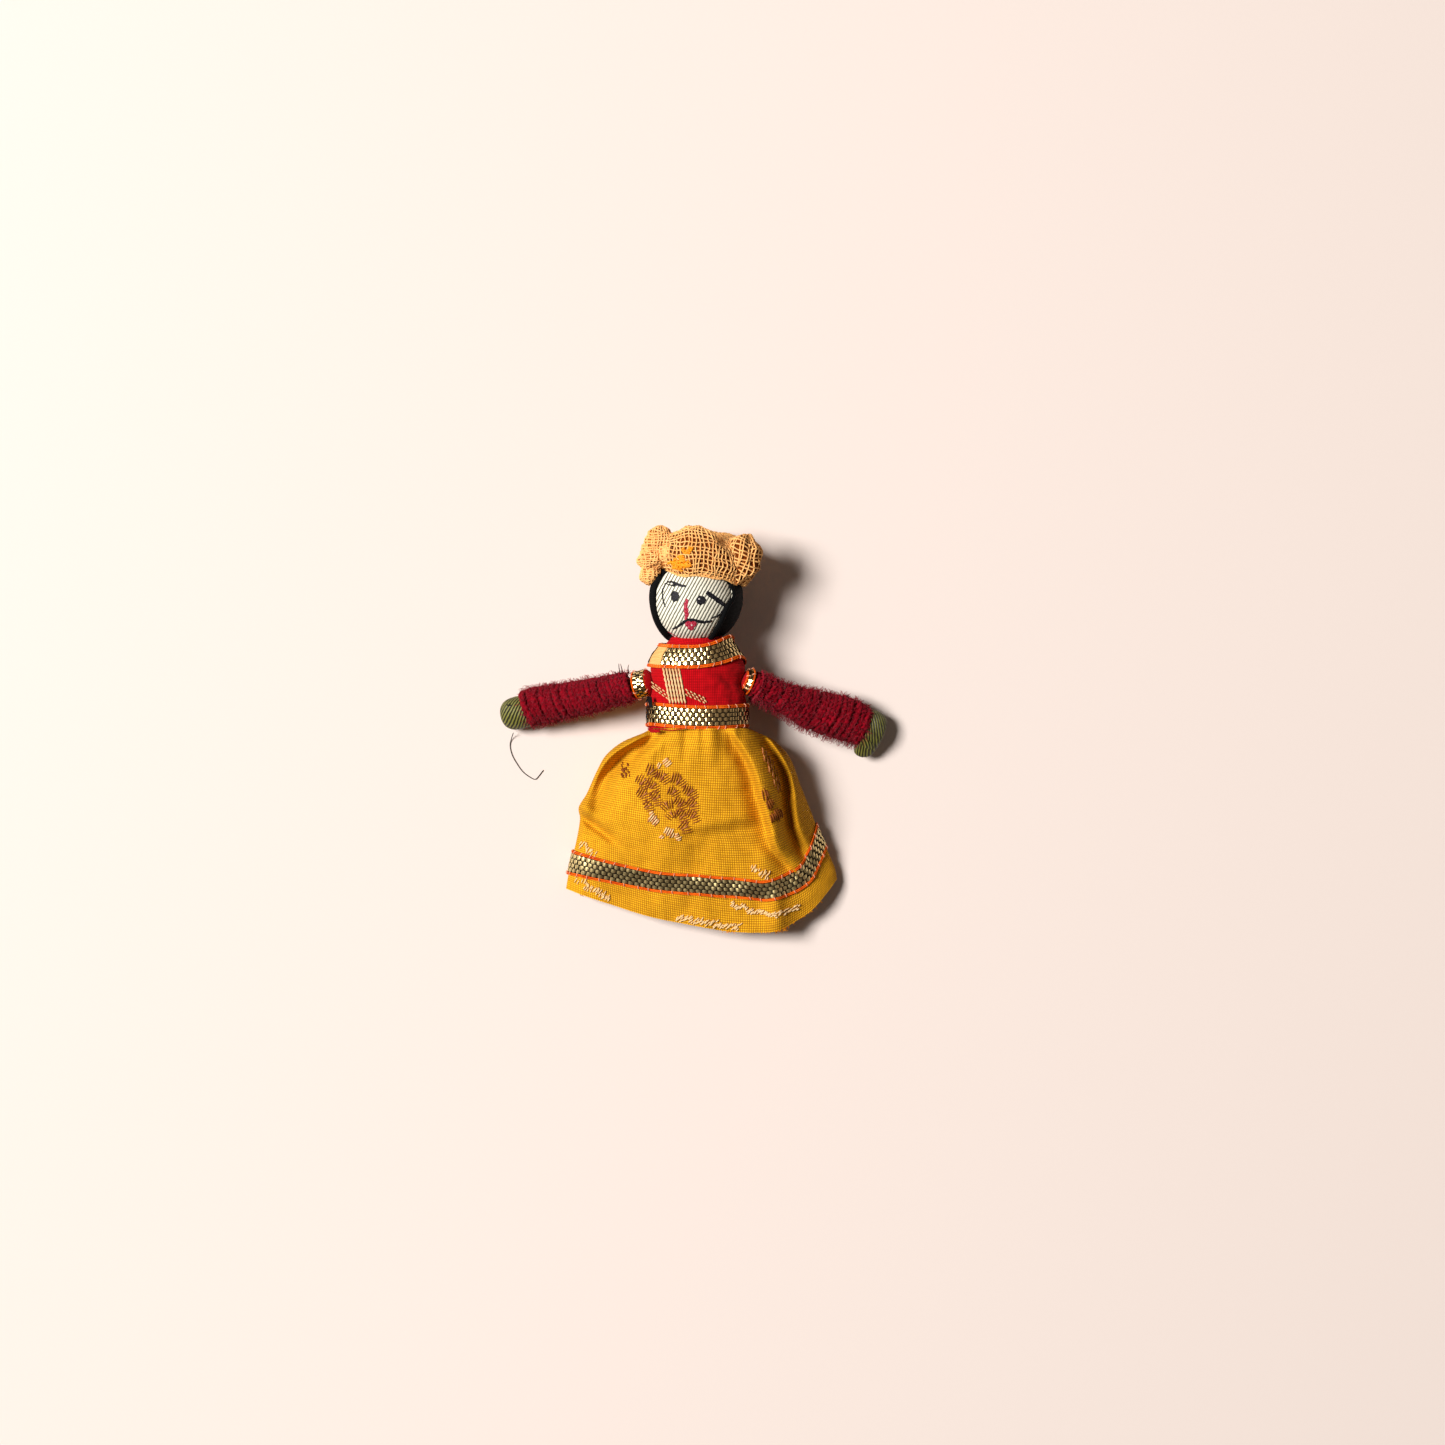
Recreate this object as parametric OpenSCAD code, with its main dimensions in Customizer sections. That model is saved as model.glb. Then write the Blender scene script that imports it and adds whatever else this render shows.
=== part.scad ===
// Hand-made kathputli doll lying on its back: a wooden head and a padded trunk on one stick, a netted
// turban, two wool-wound arms that hang on thread, and a gathered skirt that swings from the waist.
// Millimetres. X runs across the shoulders, +Y to the top of the turban, +Z out of the doll's front.
// The doll lies on the plane z = 0, and the origin is the middle of the footprint of its box.

/* [Trunk] */
// Height of the stick's axis above the surface that the doll lies on
axis_z = 14; // [13.6:0.1:17]
// Middle of the trunk across the doll
trunk_x = 0.4; // [-1:0.1:1]
// Width of the bodice from side to side
bodice_w = 25; // [21:0.5:30]
// Thickness of the bodice from chest to back
bodice_t = 16.5; // [13.5:0.5:18]
// Top of the bodice's shoulders along the doll
shoulder_y = 17; // [16:0.5:20]
// Lower edge of the waist ribbon along the doll
waist_y = 0.3; // [0:0.1:1.5]
// Thickness of the bodice cloth with its turned seams
cloth_t = 0.8; // [0.5:0.1:1.2]

/* [Head] */
// Radius of the wooden head under its cloth
head_r = 11.2; // [9.5:0.1:11.4]
// Centre of the head along the doll
head_y = 33.25; // [32.5:0.25:36]
// Thickness of the head's cloth cover
cover_t = 0.55; // [0.4:0.05:0.8]
// Radius of the round face patch
face_r = 8.9; // [7:0.1:10]

/* [Turban] */
// Radius of the rolled net
roll_r = 5.8; // [4.8:0.1:6.2]
// Radius of the ring that the roll is wound on
ring_r = 8.2; // [7.2:0.1:8.6]
// Centre of the ring along the doll
ring_y = 44.7; // [43:0.1:47]

/* [Arms] */
// Distance from a shoulder knot to the middle of its hand
arm_reach = 33.8; // [28:0.1:40]
// Angle of the left arm below a line across the shoulders
left_drop = 13; // [5:1:25]
// Angle of the right arm below a line across the shoulders
right_drop = 20.5; // [5:0.5:25]
// Radius of the wool at the shoulder
wool_r = 3.5; // [3.2:0.1:3.7]
// Radius of the wool at the wrist
wrist_r = 4.4; // [3.8:0.1:5]
// Radius of a hand
hand_r = 3.9; // [3.4:0.1:4.5]

/* [Skirt] */
// Lowest point of the hem along the doll, as a distance below the waist
skirt_len = 50.5; // [42:0.5:60]
// Width of the skirt just below the gathers
hip_w = 46.5; // [42:0.5:56]
// Width of the skirt at the end of its flare
flare_w = 76.5; // [66:0.5:90]
// Height of the skirt's front above the surface at the hips
hip_h = 22; // [21.5:0.1:23]
// Thickness of the skirt cloth with its folds
skirt_t = 1.2; // [0.8:0.1:1.6]
// Width of the ribbon near the hem
trim_w = 5.6; // [4:0.2:7]

/* [Hidden] */
$fn = 96;

eps = 0.01;
LEFT = -1;
RIGHT = 1;

// Stick and trunk
stick_r = 2;
stick_low_y = -13;
stick_top_y = head_y - 3.25;
ribbon_t = 0.4;
ribbon_w = 6.7;
roll_low_y = waist_y + 1.3;
bodice_low_y = waist_y + 0.6;
neck_drop = 4.6;            // how much narrower the neck of the bodice is than its chest
neck_thin = 2.3;
neck_top_y = shoulder_y + 4;
collar_top_y = neck_top_y + 1;
wrap_r = 6.2;
cover_r = head_r + cover_t;
face_x = -1.15;
face_y = head_y - 2.05;

// Turban, as angles round the stick's axis from +X towards +Z
front_from = 52;
front_to = 128;
side_low = 232;
right_low = -52;
cap_r = 7;
cap_low_y = ring_y - 4.7;
cap_top_y = ring_y + 2.4;
lump_r = 4.6;
// Places of the bunched lumps on the left, as [x, y from the ring, z from the axis]
LUMPS = [[-7.2, 0.4, 7.2], [-9.4, -1.8, 4.6], [-8.8, -4.6, 5.4]];
// Big end of the roll on the right
knob_r = 5.2;
KNOB = [11.2, -1.5, 2.6];
fleck_r = 0.8;
// Angle and lean of each yellow fleck on the front roll
FLECKS = [[116, 205], [108, 190], [101, 212], [112, 160], [122, 182], [95, 196]];

// Shoulders
armhole_r = 4.5;
arm_y = 11.6;
arm_out = 14.4;             // a shoulder knot's distance from the middle of the trunk
knot_r = 2.4;
thread_r = 0.4;
thread_in = 2.6;
band_half = 2;
band_r = 3.75;
band_in_r = 3.1;
core_r = 2.6;
core_from = 2.9;
wool_to = arm_reach - 2.8;
hand_gap = 0.2;
arm_dip = asin((axis_z - hand_r - hand_gap) / arm_reach);

// Waist joint
pivot_y = waist_y - 1.8;
gather_in_r = 2.7;
gather_r = 4.4;
gather_half = 0.6;

// Skirt: cross-sections along the doll, each a row of round tubes
yoke_y = waist_y - 3.9;
yoke_w = 24;
yoke_t = 15.2;
hip_y = yoke_y - 4.4;
hip_side_r = 5;
mid_y = -26;
mid_h = 19;
mid_side_r = 3.2;
mid_left = -30.2;
mid_right = 31;
end_y = -(skirt_len + 2);
end_h = 8;
end_side_r = 1.8;
end_left = -0.462 * flare_w;
end_right = 0.538 * flare_w;
end_flat = 15;              // half width of the flat middle of the hem
slice = 0.2;
hem_r = 55;
hem_x = 1.9;
hem_y = hem_r - skirt_len;
trim_x = -1;
trim_y = 27.5 + 50.5 - skirt_len;
trim_r = 65;
trim_t = 0.4;
lining_t = 0.8;
lining_short = 17;          // how far above the hem the lining stops
stick_hole_r = 4;
lining_hole_r = 5;
tall = 60;

// A flat-sided oval w wide and t high, upright in the XZ plane, from y0 to y1 along the doll
module oval_bar(w, t, y0, y1) {
    translate([trunk_x, y1, axis_z]) rotate([90, 0, 0]) linear_extrude(y1 - y0) {
        square([w - t, t], center = true);
        for (side = [LEFT, RIGHT]) translate([side * (w - t) / 2, 0]) circle(d = t);
    }
}

// A round bar along the doll on the stick's axis
module axis_bar(r, y0, y1, x = 0) {
    translate([x, y1, axis_z]) rotate([90, 0, 0]) cylinder(r = r, h = y1 - y0);
}

// Head
module head_sphere(r) {
    translate([0, head_y, axis_z]) sphere(r);
}

module face_column() {
    translate([face_x, face_y, axis_z]) cylinder(r = face_r, h = 2 * head_r);
}

module cover_shell() {
    difference() {
        head_sphere(cover_r);
        head_sphere(head_r);
        axis_bar(stick_r, stick_low_y, stick_top_y);
    }
}

module core_stick() {
    color("burlywood") axis_bar(stick_r, stick_low_y, stick_top_y);
}

module head_ball() {
    color("tan") difference() {
        head_sphere(head_r);
        axis_bar(stick_r, stick_low_y, stick_top_y);
    }
}

module face_cloth() {
    color("ivory") intersection() {
        cover_shell();
        face_column();
    }
}

module hair_cloth() {
    color("#15181b") difference() {
        cover_shell();
        face_column();
    }
}

module neck_wrap() {
    color("firebrick") difference() {
        axis_bar(wrap_r, neck_top_y, neck_top_y + 2.8);
        head_sphere(cover_r);
        axis_bar(stick_r, stick_low_y, stick_top_y);
    }
}

// Trunk
module armholes() {
    for (side = [LEFT, RIGHT]) translate(shoulder(side)) sphere(armhole_r);
}

module trunk_solid(inset) {
    oval_bar(bodice_w - 2 * inset, bodice_t - 2 * inset, bodice_low_y, shoulder_y - inset);
    oval_bar(
        bodice_w - neck_drop - 2 * inset, bodice_t - neck_thin - 2 * inset,
        shoulder_y - inset - eps, neck_top_y - inset
    );
}

module torso_roll() {
    color("gainsboro") difference() {
        trunk_solid(cloth_t);
        axis_bar(bodice_w, bodice_low_y - 1, roll_low_y);
        axis_bar(stick_r, stick_low_y, stick_top_y);
        armholes();
        for (side = [LEFT, RIGHT]) thread_bar(side);
    }
}

module bodice() {
    color("#c00a14") difference() {
        trunk_solid(0);
        trunk_solid(cloth_t);
        axis_bar(stick_r, stick_low_y, stick_top_y);
        armholes();
    }
}

module ribbon_tube(w, t, y0, y1) {
    difference() {
        oval_bar(w + 2 * ribbon_t, t + 2 * ribbon_t, y0, y1);
        oval_bar(w, t, y0 - 1, y1 + 1);
    }
}

module collar_band() {
    color("#c9a659")
        ribbon_tube(bodice_w - neck_drop, bodice_t - neck_thin, shoulder_y, collar_top_y);
}

module waist_band() {
    color("#c9a659") difference() {
        ribbon_tube(bodice_w, bodice_t, waist_y, waist_y + ribbon_w);
        armholes();
    }
}

// Turban
module turban_ring(tube_r, from_angle, to_angle) {
    translate([0, ring_y, axis_z]) rotate([90, 0, 0]) mirror([0, 0, 1])
        rotate([0, 0, from_angle]) rotate_extrude(angle = to_angle - from_angle)
            translate([ring_r, 0]) circle(tube_r);
}

module turban_wedge(from_angle, to_angle) {
    translate([0, ring_y, axis_z]) rotate([90, 0, 0]) mirror([0, 0, 1])
        rotate([0, 0, from_angle]) rotate_extrude(angle = to_angle - from_angle)
            translate([0.5, -tall / 2]) square([tall / 2, tall]);
}

module turban_cap() {
    color("sienna") difference() {
        axis_bar(cap_r, cap_low_y, cap_top_y);
        head_sphere(cover_r);
        turban_ring(roll_r, 0, 360);
    }
}

module turban_front_roll() {
    color("#e8b470") difference() {
        turban_ring(roll_r, front_from, front_to);
        head_sphere(cover_r);
    }
}

module turban_right_roll() {
    color("#e8b470") difference() {
        union() {
            turban_ring(roll_r, right_low, front_from);
            intersection() {
                translate([0, ring_y, axis_z] + KNOB) sphere(knob_r);
                turban_wedge(right_low, front_from);
            }
        }
        head_sphere(cover_r);
    }
}

module turban_left_bunch() {
    color("#e8b470") difference() {
        union() {
            turban_ring(roll_r, front_to, side_low);
            intersection() {
                for (lump = LUMPS) translate([0, ring_y, axis_z] + lump) sphere(lump_r);
                turban_wedge(front_to, side_low);
            }
        }
        head_sphere(cover_r);
    }
}

module turban_back_roll() {
    color("#e8b470") difference() {
        turban_ring(roll_r, side_low, 360 + right_low);
        head_sphere(cover_r);
    }
}

module turban_flecks() {
    color("orange") difference() {
        for (fleck = FLECKS) translate(roll_point(fleck[0], fleck[1])) sphere(fleck_r, $fn = 24);
        turban_ring(roll_r, 0, 360);
    }
}

// A point on the surface of the turban's ring, at an angle round the axis and a lean over the tube
function roll_point(around, lean) =
    let (out = ring_r - roll_r * cos(lean))
    [out * cos(around), ring_y + roll_r * sin(lean), axis_z + out * sin(around)];

// Arms
function shoulder(side) = [trunk_x + side * arm_out, arm_y, axis_z];
function arm_turn(side) = side == LEFT ? 180 + left_drop : -right_drop;

// Puts its children in the arm's own frame: the shoulder knot at 0, and the arm along +Z
module in_arm(side) {
    translate(shoulder(side)) rotate([0, 90 + arm_dip, arm_turn(side)]) children();
}

module thread_bar(side) {
    translate([trunk_x, arm_y, axis_z]) rotate([0, side * 90, 0])
        translate([0, 0, thread_in]) cylinder(r = thread_r, h = arm_out - armhole_r - thread_in - 0.1);
}

module shoulder_thread(side) {
    color("black") thread_bar(side);
}

module shoulder_knot(side) {
    color("maroon") translate(shoulder(side)) sphere(knot_r);
}

module arm_core(side) {
    color("linen") in_arm(side) translate([0, 0, core_from]) cylinder(r = core_r, h = arm_reach - core_from);
}

module arm_wool(side) {
    color("#8e1022") in_arm(side) difference() {
        translate([0, 0, band_half]) cylinder(r1 = wool_r, r2 = wrist_r, h = wool_to - band_half);
        cylinder(r = core_r, h = arm_reach);
    }
}

module sleeve_band(side) {
    color("#c9a659") in_arm(side) difference() {
        translate([0, 0, -band_half]) cylinder(r = band_r, h = 2 * band_half);
        translate([0, 0, -band_half - 1]) cylinder(r = band_in_r, h = 2 * band_half + 2);
    }
}

module hand(side) {
    color("#6c7030") in_arm(side) difference() {
        union() {
            translate([0, 0, wool_to]) cylinder(r = hand_r, h = arm_reach - wool_to);
            translate([0, 0, arm_reach]) sphere(hand_r);
        }
        cylinder(r = core_r, h = arm_reach);
    }
}

// Skirt
module gather_thread() {
    color("red") difference() {
        axis_bar(gather_r, pivot_y - gather_half, pivot_y + gather_half);
        axis_bar(gather_in_r, pivot_y - 1, pivot_y + 1);
    }
}

// A short length of tube that lies on the surface, or inset above it
module skirt_rib(x, y, r, inset) {
    translate([x, y, r]) rotate([90, 0, 0]) cylinder(r = r - inset, h = slice, $fn = 32);
}

// The skirt's outer shape, drawn in by an inset on every side, its end past the hem left open
module bell(inset) {
    hull() {
        for (side = [LEFT, RIGHT]) {
            translate([trunk_x + side * (yoke_w - yoke_t) / 2, yoke_y - inset, axis_z])
                rotate([90, 0, 0]) cylinder(r = yoke_t / 2 - inset, h = slice, $fn = 32);
            skirt_rib(trunk_x + side * (hip_w / 2 - hip_side_r), hip_y, hip_side_r, inset);
            skirt_rib(side * end_flat, end_y, end_h / 2, inset);
        }
        skirt_rib(trunk_x, hip_y, hip_h / 2, inset);
        skirt_rib(0, mid_y, mid_h / 2, inset);
        skirt_rib(mid_left + mid_side_r, mid_y, mid_side_r, inset);
        skirt_rib(mid_right - mid_side_r, mid_y, mid_side_r, inset);
        skirt_rib(end_left + end_side_r, end_y, end_side_r, inset);
        skirt_rib(end_right - end_side_r, end_y, end_side_r, inset);
    }
}

module hem_disc(shorten) {
    translate([hem_x, hem_y, -1]) cylinder(r = hem_r - shorten, h = tall, $fn = 180);
}

module trim_ring() {
    translate([trim_x, trim_y, -1]) difference() {
        cylinder(r = trim_r + trim_w, h = tall, $fn = 180);
        cylinder(r = trim_r, h = tall, $fn = 180);
    }
}

module trim_solid() {
    intersection() {
        difference() {
            bell(0);
            bell(trim_t);
        }
        trim_ring();
        hem_disc(0);
    }
}

module skirt() {
    color("#f5b11a") difference() {
        intersection() {
            bell(0);
            hem_disc(0);
        }
        bell(skirt_t);
        axis_bar(stick_hole_r, yoke_y - 3 * skirt_t, yoke_y + 1);
        trim_solid();
    }
}

module skirt_trim() {
    color("#c9a659") trim_solid();
}

module skirt_lining() {
    color("whitesmoke") intersection() {
        difference() {
            bell(skirt_t);
            bell(skirt_t + lining_t);
            axis_bar(lining_hole_r, yoke_y - 4 * skirt_t, yoke_y + 1);
        }
        hem_disc(lining_short);
    }
}

core_stick();
head_ball();
face_cloth();
hair_cloth();
neck_wrap();
torso_roll();
bodice();
collar_band();
waist_band();
turban_cap();
turban_front_roll();
turban_right_roll();
turban_left_bunch();
turban_back_roll();
turban_flecks();
shoulder_thread(LEFT);  // shoulder_thread_left
shoulder_thread(RIGHT);  // shoulder_thread_right
shoulder_knot(LEFT);  // shoulder_knot_left
shoulder_knot(RIGHT);  // shoulder_knot_right
arm_core(LEFT);  // arm_core_left
arm_core(RIGHT);  // arm_core_right
arm_wool(LEFT);  // arm_wool_left
arm_wool(RIGHT);  // arm_wool_right
sleeve_band(LEFT);  // sleeve_band_left
sleeve_band(RIGHT);  // sleeve_band_right
hand(LEFT);  // hand_left
hand(RIGHT);  // hand_right
gather_thread();
skirt();
skirt_trim();
skirt_lining();
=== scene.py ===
"""A small Rajasthani kathputli doll, dressed over its design model as it lies on a pale table.

Lengths are millimetres in the doll's own frame: X across the shoulders, Y towards the turban, Z out
of the doll's front. MM turns them into the scene's metres.
"""

import logging
import math
import random
from bisect import bisect_right
from collections.abc import Callable, Sequence
from dataclasses import dataclass
from enum import Enum

import bmesh
import bpy
from mathutils import Matrix, Vector, noise


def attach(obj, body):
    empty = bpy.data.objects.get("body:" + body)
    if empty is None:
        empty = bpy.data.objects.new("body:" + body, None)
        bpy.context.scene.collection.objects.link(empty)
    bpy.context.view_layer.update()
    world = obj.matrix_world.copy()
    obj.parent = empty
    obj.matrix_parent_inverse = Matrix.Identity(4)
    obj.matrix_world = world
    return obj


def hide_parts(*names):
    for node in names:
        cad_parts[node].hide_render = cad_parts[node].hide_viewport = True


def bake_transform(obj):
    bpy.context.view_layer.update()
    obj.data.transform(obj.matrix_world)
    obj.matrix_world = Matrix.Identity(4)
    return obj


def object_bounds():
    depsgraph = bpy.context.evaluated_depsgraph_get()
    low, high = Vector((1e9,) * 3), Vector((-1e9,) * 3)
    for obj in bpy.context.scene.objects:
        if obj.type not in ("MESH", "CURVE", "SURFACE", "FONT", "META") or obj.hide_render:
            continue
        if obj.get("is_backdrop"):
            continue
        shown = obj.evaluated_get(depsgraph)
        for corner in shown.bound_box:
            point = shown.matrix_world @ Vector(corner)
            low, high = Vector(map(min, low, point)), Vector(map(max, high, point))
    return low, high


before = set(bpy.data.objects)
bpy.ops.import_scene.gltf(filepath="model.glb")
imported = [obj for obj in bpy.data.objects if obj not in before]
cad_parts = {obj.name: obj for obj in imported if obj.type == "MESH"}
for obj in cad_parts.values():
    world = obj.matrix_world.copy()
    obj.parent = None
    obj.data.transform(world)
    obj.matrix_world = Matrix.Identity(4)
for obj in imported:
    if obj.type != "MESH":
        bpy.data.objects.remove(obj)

MM = 0.001
FLAT = "flat_mm"
# Edges of a mesh that lie nearer to each other than this, in millimetres, are one seam.
SEAM_MM = 0.002
# Height of the doll's middle line over the table.
AXIS_Z = 14.0
LOG = logging.getLogger("kathputli")

Place = Callable[[float, float], Vector]
Lay = Callable[[float, float, float], Vector]
Knots = Sequence[tuple[float, float]]
Layout = tuple[float, float] | Callable[[float, float], tuple[float, float]]


class Side(Enum):
    """The doll's two arms, by the side that each is on when the doll is looked at."""

    LEFT = -1
    RIGHT = 1


# ---- Finishes ----


def linear(code: str) -> tuple[float, float, float, float]:
    """Turn an sRGB hex colour into linear light.

    Args:
        code: The colour as "#rrggbb".

    Returns:
        Red, green, blue and an alpha of 1.
    """
    parts = [int(code[at:at + 2], 16) / 255 for at in (1, 3, 5)]
    light = [c / 12.92 if c <= 0.04045 else ((c + 0.055) / 1.055) ** 2.4 for c in parts]
    return (*light, 1.0)


def add_node(tree: bpy.types.NodeTree, kind: str, inputs: dict | None = None, **settings) -> bpy.types.Node:
    """Add one node to a material.

    Args:
        tree: The material's nodes.
        kind: The node's type, without the ShaderNode that each of them starts with.
        inputs: What goes into each input, by its name or number: a socket to link, or a value.
        settings: The node's own properties.

    Returns:
        The new node.
    """
    node = tree.nodes.new("ShaderNode" + kind)
    for name, value in settings.items():
        setattr(node, name, value)
    for name, value in (inputs or {}).items():
        if isinstance(value, bpy.types.NodeSocket):
            tree.links.new(value, node.inputs[name])
        else:
            node.inputs[name].default_value = value
    return node


@dataclass(frozen=True)
class Finish:
    """What a piece is made of: its colour and how it takes the light.

    Attributes:
        name: The material's name.
        slot: The record's material that it belongs to.
        colour: Its main colour, as sRGB hex.
        roughness: How dull it is.
        sheen: How much loose fibre catches the light at its edges.
        gloss: How strongly its surface mirrors, half being a polished one.
        on_solid: True for a design solid, which has no flat layout and is read in its own space.
    """

    name: str
    slot: str
    colour: str
    roughness: float = 0.85
    sheen: float = 0.0
    gloss: float = 0.2
    on_solid: bool = False

    def material(self) -> bpy.types.Material:
        """Make the material once, and return it."""
        found = bpy.data.materials.get(self.name)
        if found:
            return found
        made = bpy.data.materials.new(self.name)
        made.use_nodes = True
        tree = made.node_tree
        shader = tree.nodes["Principled BSDF"]
        shader.inputs["Base Color"].default_value = linear(self.colour)
        shader.inputs["Roughness"].default_value = self.roughness
        shader.inputs["Sheen Weight"].default_value = self.sheen
        shader.inputs["Sheen Roughness"].default_value = 0.5
        shader.inputs["Specular IOR Level"].default_value = self.gloss
        self.dress(tree, shader)
        return made

    def place_mm(
        self, tree: bpy.types.NodeTree, stretch: tuple[float, float, float] = (1, 1, 1), lean: float = 0.0
    ) -> bpy.types.NodeSocket:
        """Give the socket of this finish's coordinates in millimetres.

        Args:
            tree: The material's nodes.
            stretch: How much each coordinate is multiplied by.
            lean: Angle that the pattern is turned by, in degrees.

        Returns:
            A vector socket.
        """
        if self.on_solid:
            source = add_node(tree, "TexCoord").outputs["Object"]
            scale = tuple(part / MM for part in stretch)
        else:
            source = add_node(tree, "UVMap", uv_map=FLAT).outputs["UV"]
            scale = stretch
        turned = (0.0, 0.0, math.radians(lean))
        return add_node(
            tree, "Mapping", {"Vector": source, "Scale": scale, "Rotation": turned}
        ).outputs[0]

    def dress(self, tree: bpy.types.NodeTree, shader: bpy.types.Node) -> None:
        """Add the finish's own pattern to the plain shader."""

    def shade(
        self, tree: bpy.types.NodeTree, shader: bpy.types.Node, dark: str, amount: bpy.types.NodeSocket,
        height: bpy.types.NodeSocket, depth: float,
    ) -> None:
        """Colour and raise a surface by one pattern.

        Args:
            tree: The material's nodes.
            shader: Its shader.
            dark: The colour of the pattern's hollows.
            amount: Socket, 0 in the hollows and 1 on the full colour.
            height: Socket of the pattern's height, 0 to 1.
            depth: How high the pattern stands, in millimetres.
        """
        mixed = add_node(
            tree, "Mix", {0: amount, 6: linear(dark), 7: linear(self.colour)},
            data_type="RGBA", clamp_factor=True,
        )
        tree.links.new(mixed.outputs[2], shader.inputs["Base Color"])
        bump = add_node(tree, "Bump", {"Height": height, "Distance": depth * MM, "Strength": 1.0})
        tree.links.new(bump.outputs[0], shader.inputs["Normal"])


@dataclass(frozen=True)
class WovenCotton(Finish):
    """Plain-woven cotton: crossing threads, darker where they dip, with thick and thin lengths.

    Attributes:
        pitch: Distance from one thread to the next, in millimetres.
        gap: Colour between the threads.
        depth: How high the threads stand, in millimetres.
        slub: How much the threads differ in shade.
        lean: Angle of its threads, in degrees.
        thin: How much darker it is where the weave opens, in patches about a centimetre wide.
    """

    pitch: float = 0.43
    gap: str = "#404040"
    depth: float = 0.07
    slub: float = 0.35
    lean: float = 0.0
    thin: float = 0.0

    def dress(self, tree: bpy.types.NodeTree, shader: bpy.types.Node) -> None:
        """Weave the threads over and under, and vary their shade along their length."""
        axes = add_node(tree, "SeparateXYZ", {0: self.place_mm(tree, lean=self.lean)})
        waves = []
        for axis in ("X", "Y"):
            turn = add_node(
                tree, "Math", {0: axes.outputs[axis], 1: math.pi / self.pitch}, operation="MULTIPLY"
            )
            waves.append(add_node(tree, "Math", {0: turn.outputs[0]}, operation="SINE").outputs[0])
        both = add_node(tree, "Math", {0: waves[0], 1: waves[1]}, operation="MULTIPLY").outputs[0]
        over = add_node(tree, "Math", {0: both, 1: 0.0}, operation="GREATER_THAN").outputs[0]
        ridges = [
            add_node(tree, "Math", {0: wave}, operation="ABSOLUTE").outputs[0] for wave in waves
        ]
        chosen = add_node(tree, "Mix", {0: over, 2: ridges[0], 3: ridges[1]}).outputs[0]
        rise = add_node(tree, "Math", {0: both}, operation="ABSOLUTE").outputs[0]
        lifted = add_node(tree, "Math", {0: rise, 1: chosen}, operation="MULTIPLY").outputs[0]
        height = add_node(tree, "Math", {0: lifted, 1: 0.5}, operation="POWER").outputs[0]
        shades = []
        for stretch in ((0.25, 1 / self.pitch, 1), (1 / self.pitch, 0.25, 1)):
            shades.append(add_node(
                tree, "TexNoise", {"Vector": self.place_mm(tree, stretch), "Scale": 1.0, "Detail": 1.0}
            ).outputs[0])
        shade = add_node(tree, "Math", {0: shades[0], 1: shades[1]}, operation="MINIMUM").outputs[0]
        thick = add_node(
            tree, "MapRange",
            {0: shade, 1: 0.33, 2: 0.5, 3: 1.0 - self.slub, 4: 1.0},
        ).outputs[0]
        open_weave = add_node(
            tree, "MapRange", {0: height, 1: 0.2, 2: 0.8, 3: 0.0, 4: 1.0}
        ).outputs[0]
        amount = add_node(tree, "Math", {0: open_weave, 1: thick}, operation="MULTIPLY").outputs[0]
        if self.thin:
            patches = add_node(
                tree, "TexNoise", {"Vector": self.place_mm(tree), "Scale": 0.07, "Detail": 2.0}
            ).outputs[0]
            worn = add_node(
                tree, "MapRange", {0: patches, 1: 0.38, 2: 0.6, 3: 1.0, 4: 1.0 - self.thin}
            ).outputs[0]
            amount = add_node(tree, "Math", {0: amount, 1: worn}, operation="MULTIPLY").outputs[0]
        self.shade(tree, shader, self.gap, amount, height, self.depth)


@dataclass(frozen=True)
class Twill(Finish):
    """Twill-woven cloth or ribbon: slanting ribs with dark lines between them.

    Attributes:
        pitch: Distance between ribs, in millimetres.
        lean: Angle of the ribs from the cloth's own X, in degrees.
        gap: Colour of the lines between ribs.
        depth: How high the ribs stand, in millimetres.
        line: Share of the pitch that the dark line takes.
    """

    pitch: float = 0.6
    lean: float = 60.0
    gap: str = "#707060"
    depth: float = 0.12
    line: float = 0.3

    def dress(self, tree: bpy.types.NodeTree, shader: bpy.types.Node) -> None:
        """Lay the ribs at their slant, each broken into short stitches."""
        turned = add_node(
            tree, "Mapping", {"Vector": self.place_mm(tree), "Rotation": (0, 0, -math.radians(self.lean))}
        ).outputs[0]
        wobble = add_node(
            tree, "TexNoise", {"Vector": turned, "Scale": 0.9 / self.pitch, "Detail": 1.0}
        ).outputs[0]
        axes = add_node(tree, "SeparateXYZ", {0: turned})
        bent = add_node(
            tree, "Math", {0: wobble, 1: 0.3 * self.pitch, 2: axes.outputs["Y"]}, operation="MULTIPLY_ADD"
        ).outputs[0]
        turn = add_node(
            tree, "Math", {0: bent, 1: math.pi / self.pitch}, operation="MULTIPLY"
        ).outputs[0]
        wave = add_node(tree, "Math", {0: turn}, operation="SINE").outputs[0]
        rib = add_node(tree, "Math", {0: wave}, operation="ABSOLUTE").outputs[0]
        lumps = add_node(
            tree, "TexNoise",
            {"Vector": turned, "Scale": 2.2 / self.pitch, "Detail": 1.0},
        ).outputs[0]
        height = add_node(
            tree, "Math", {0: lumps, 1: 0.35, 2: rib}, operation="MULTIPLY_ADD"
        ).outputs[0]
        amount = add_node(
            tree, "MapRange", {0: rib, 1: 0.7 * self.line, 2: 2.0 * self.line, 3: 0.0, 4: 1.0}
        ).outputs[0]
        self.shade(tree, shader, self.gap, amount, height, self.depth)


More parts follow.
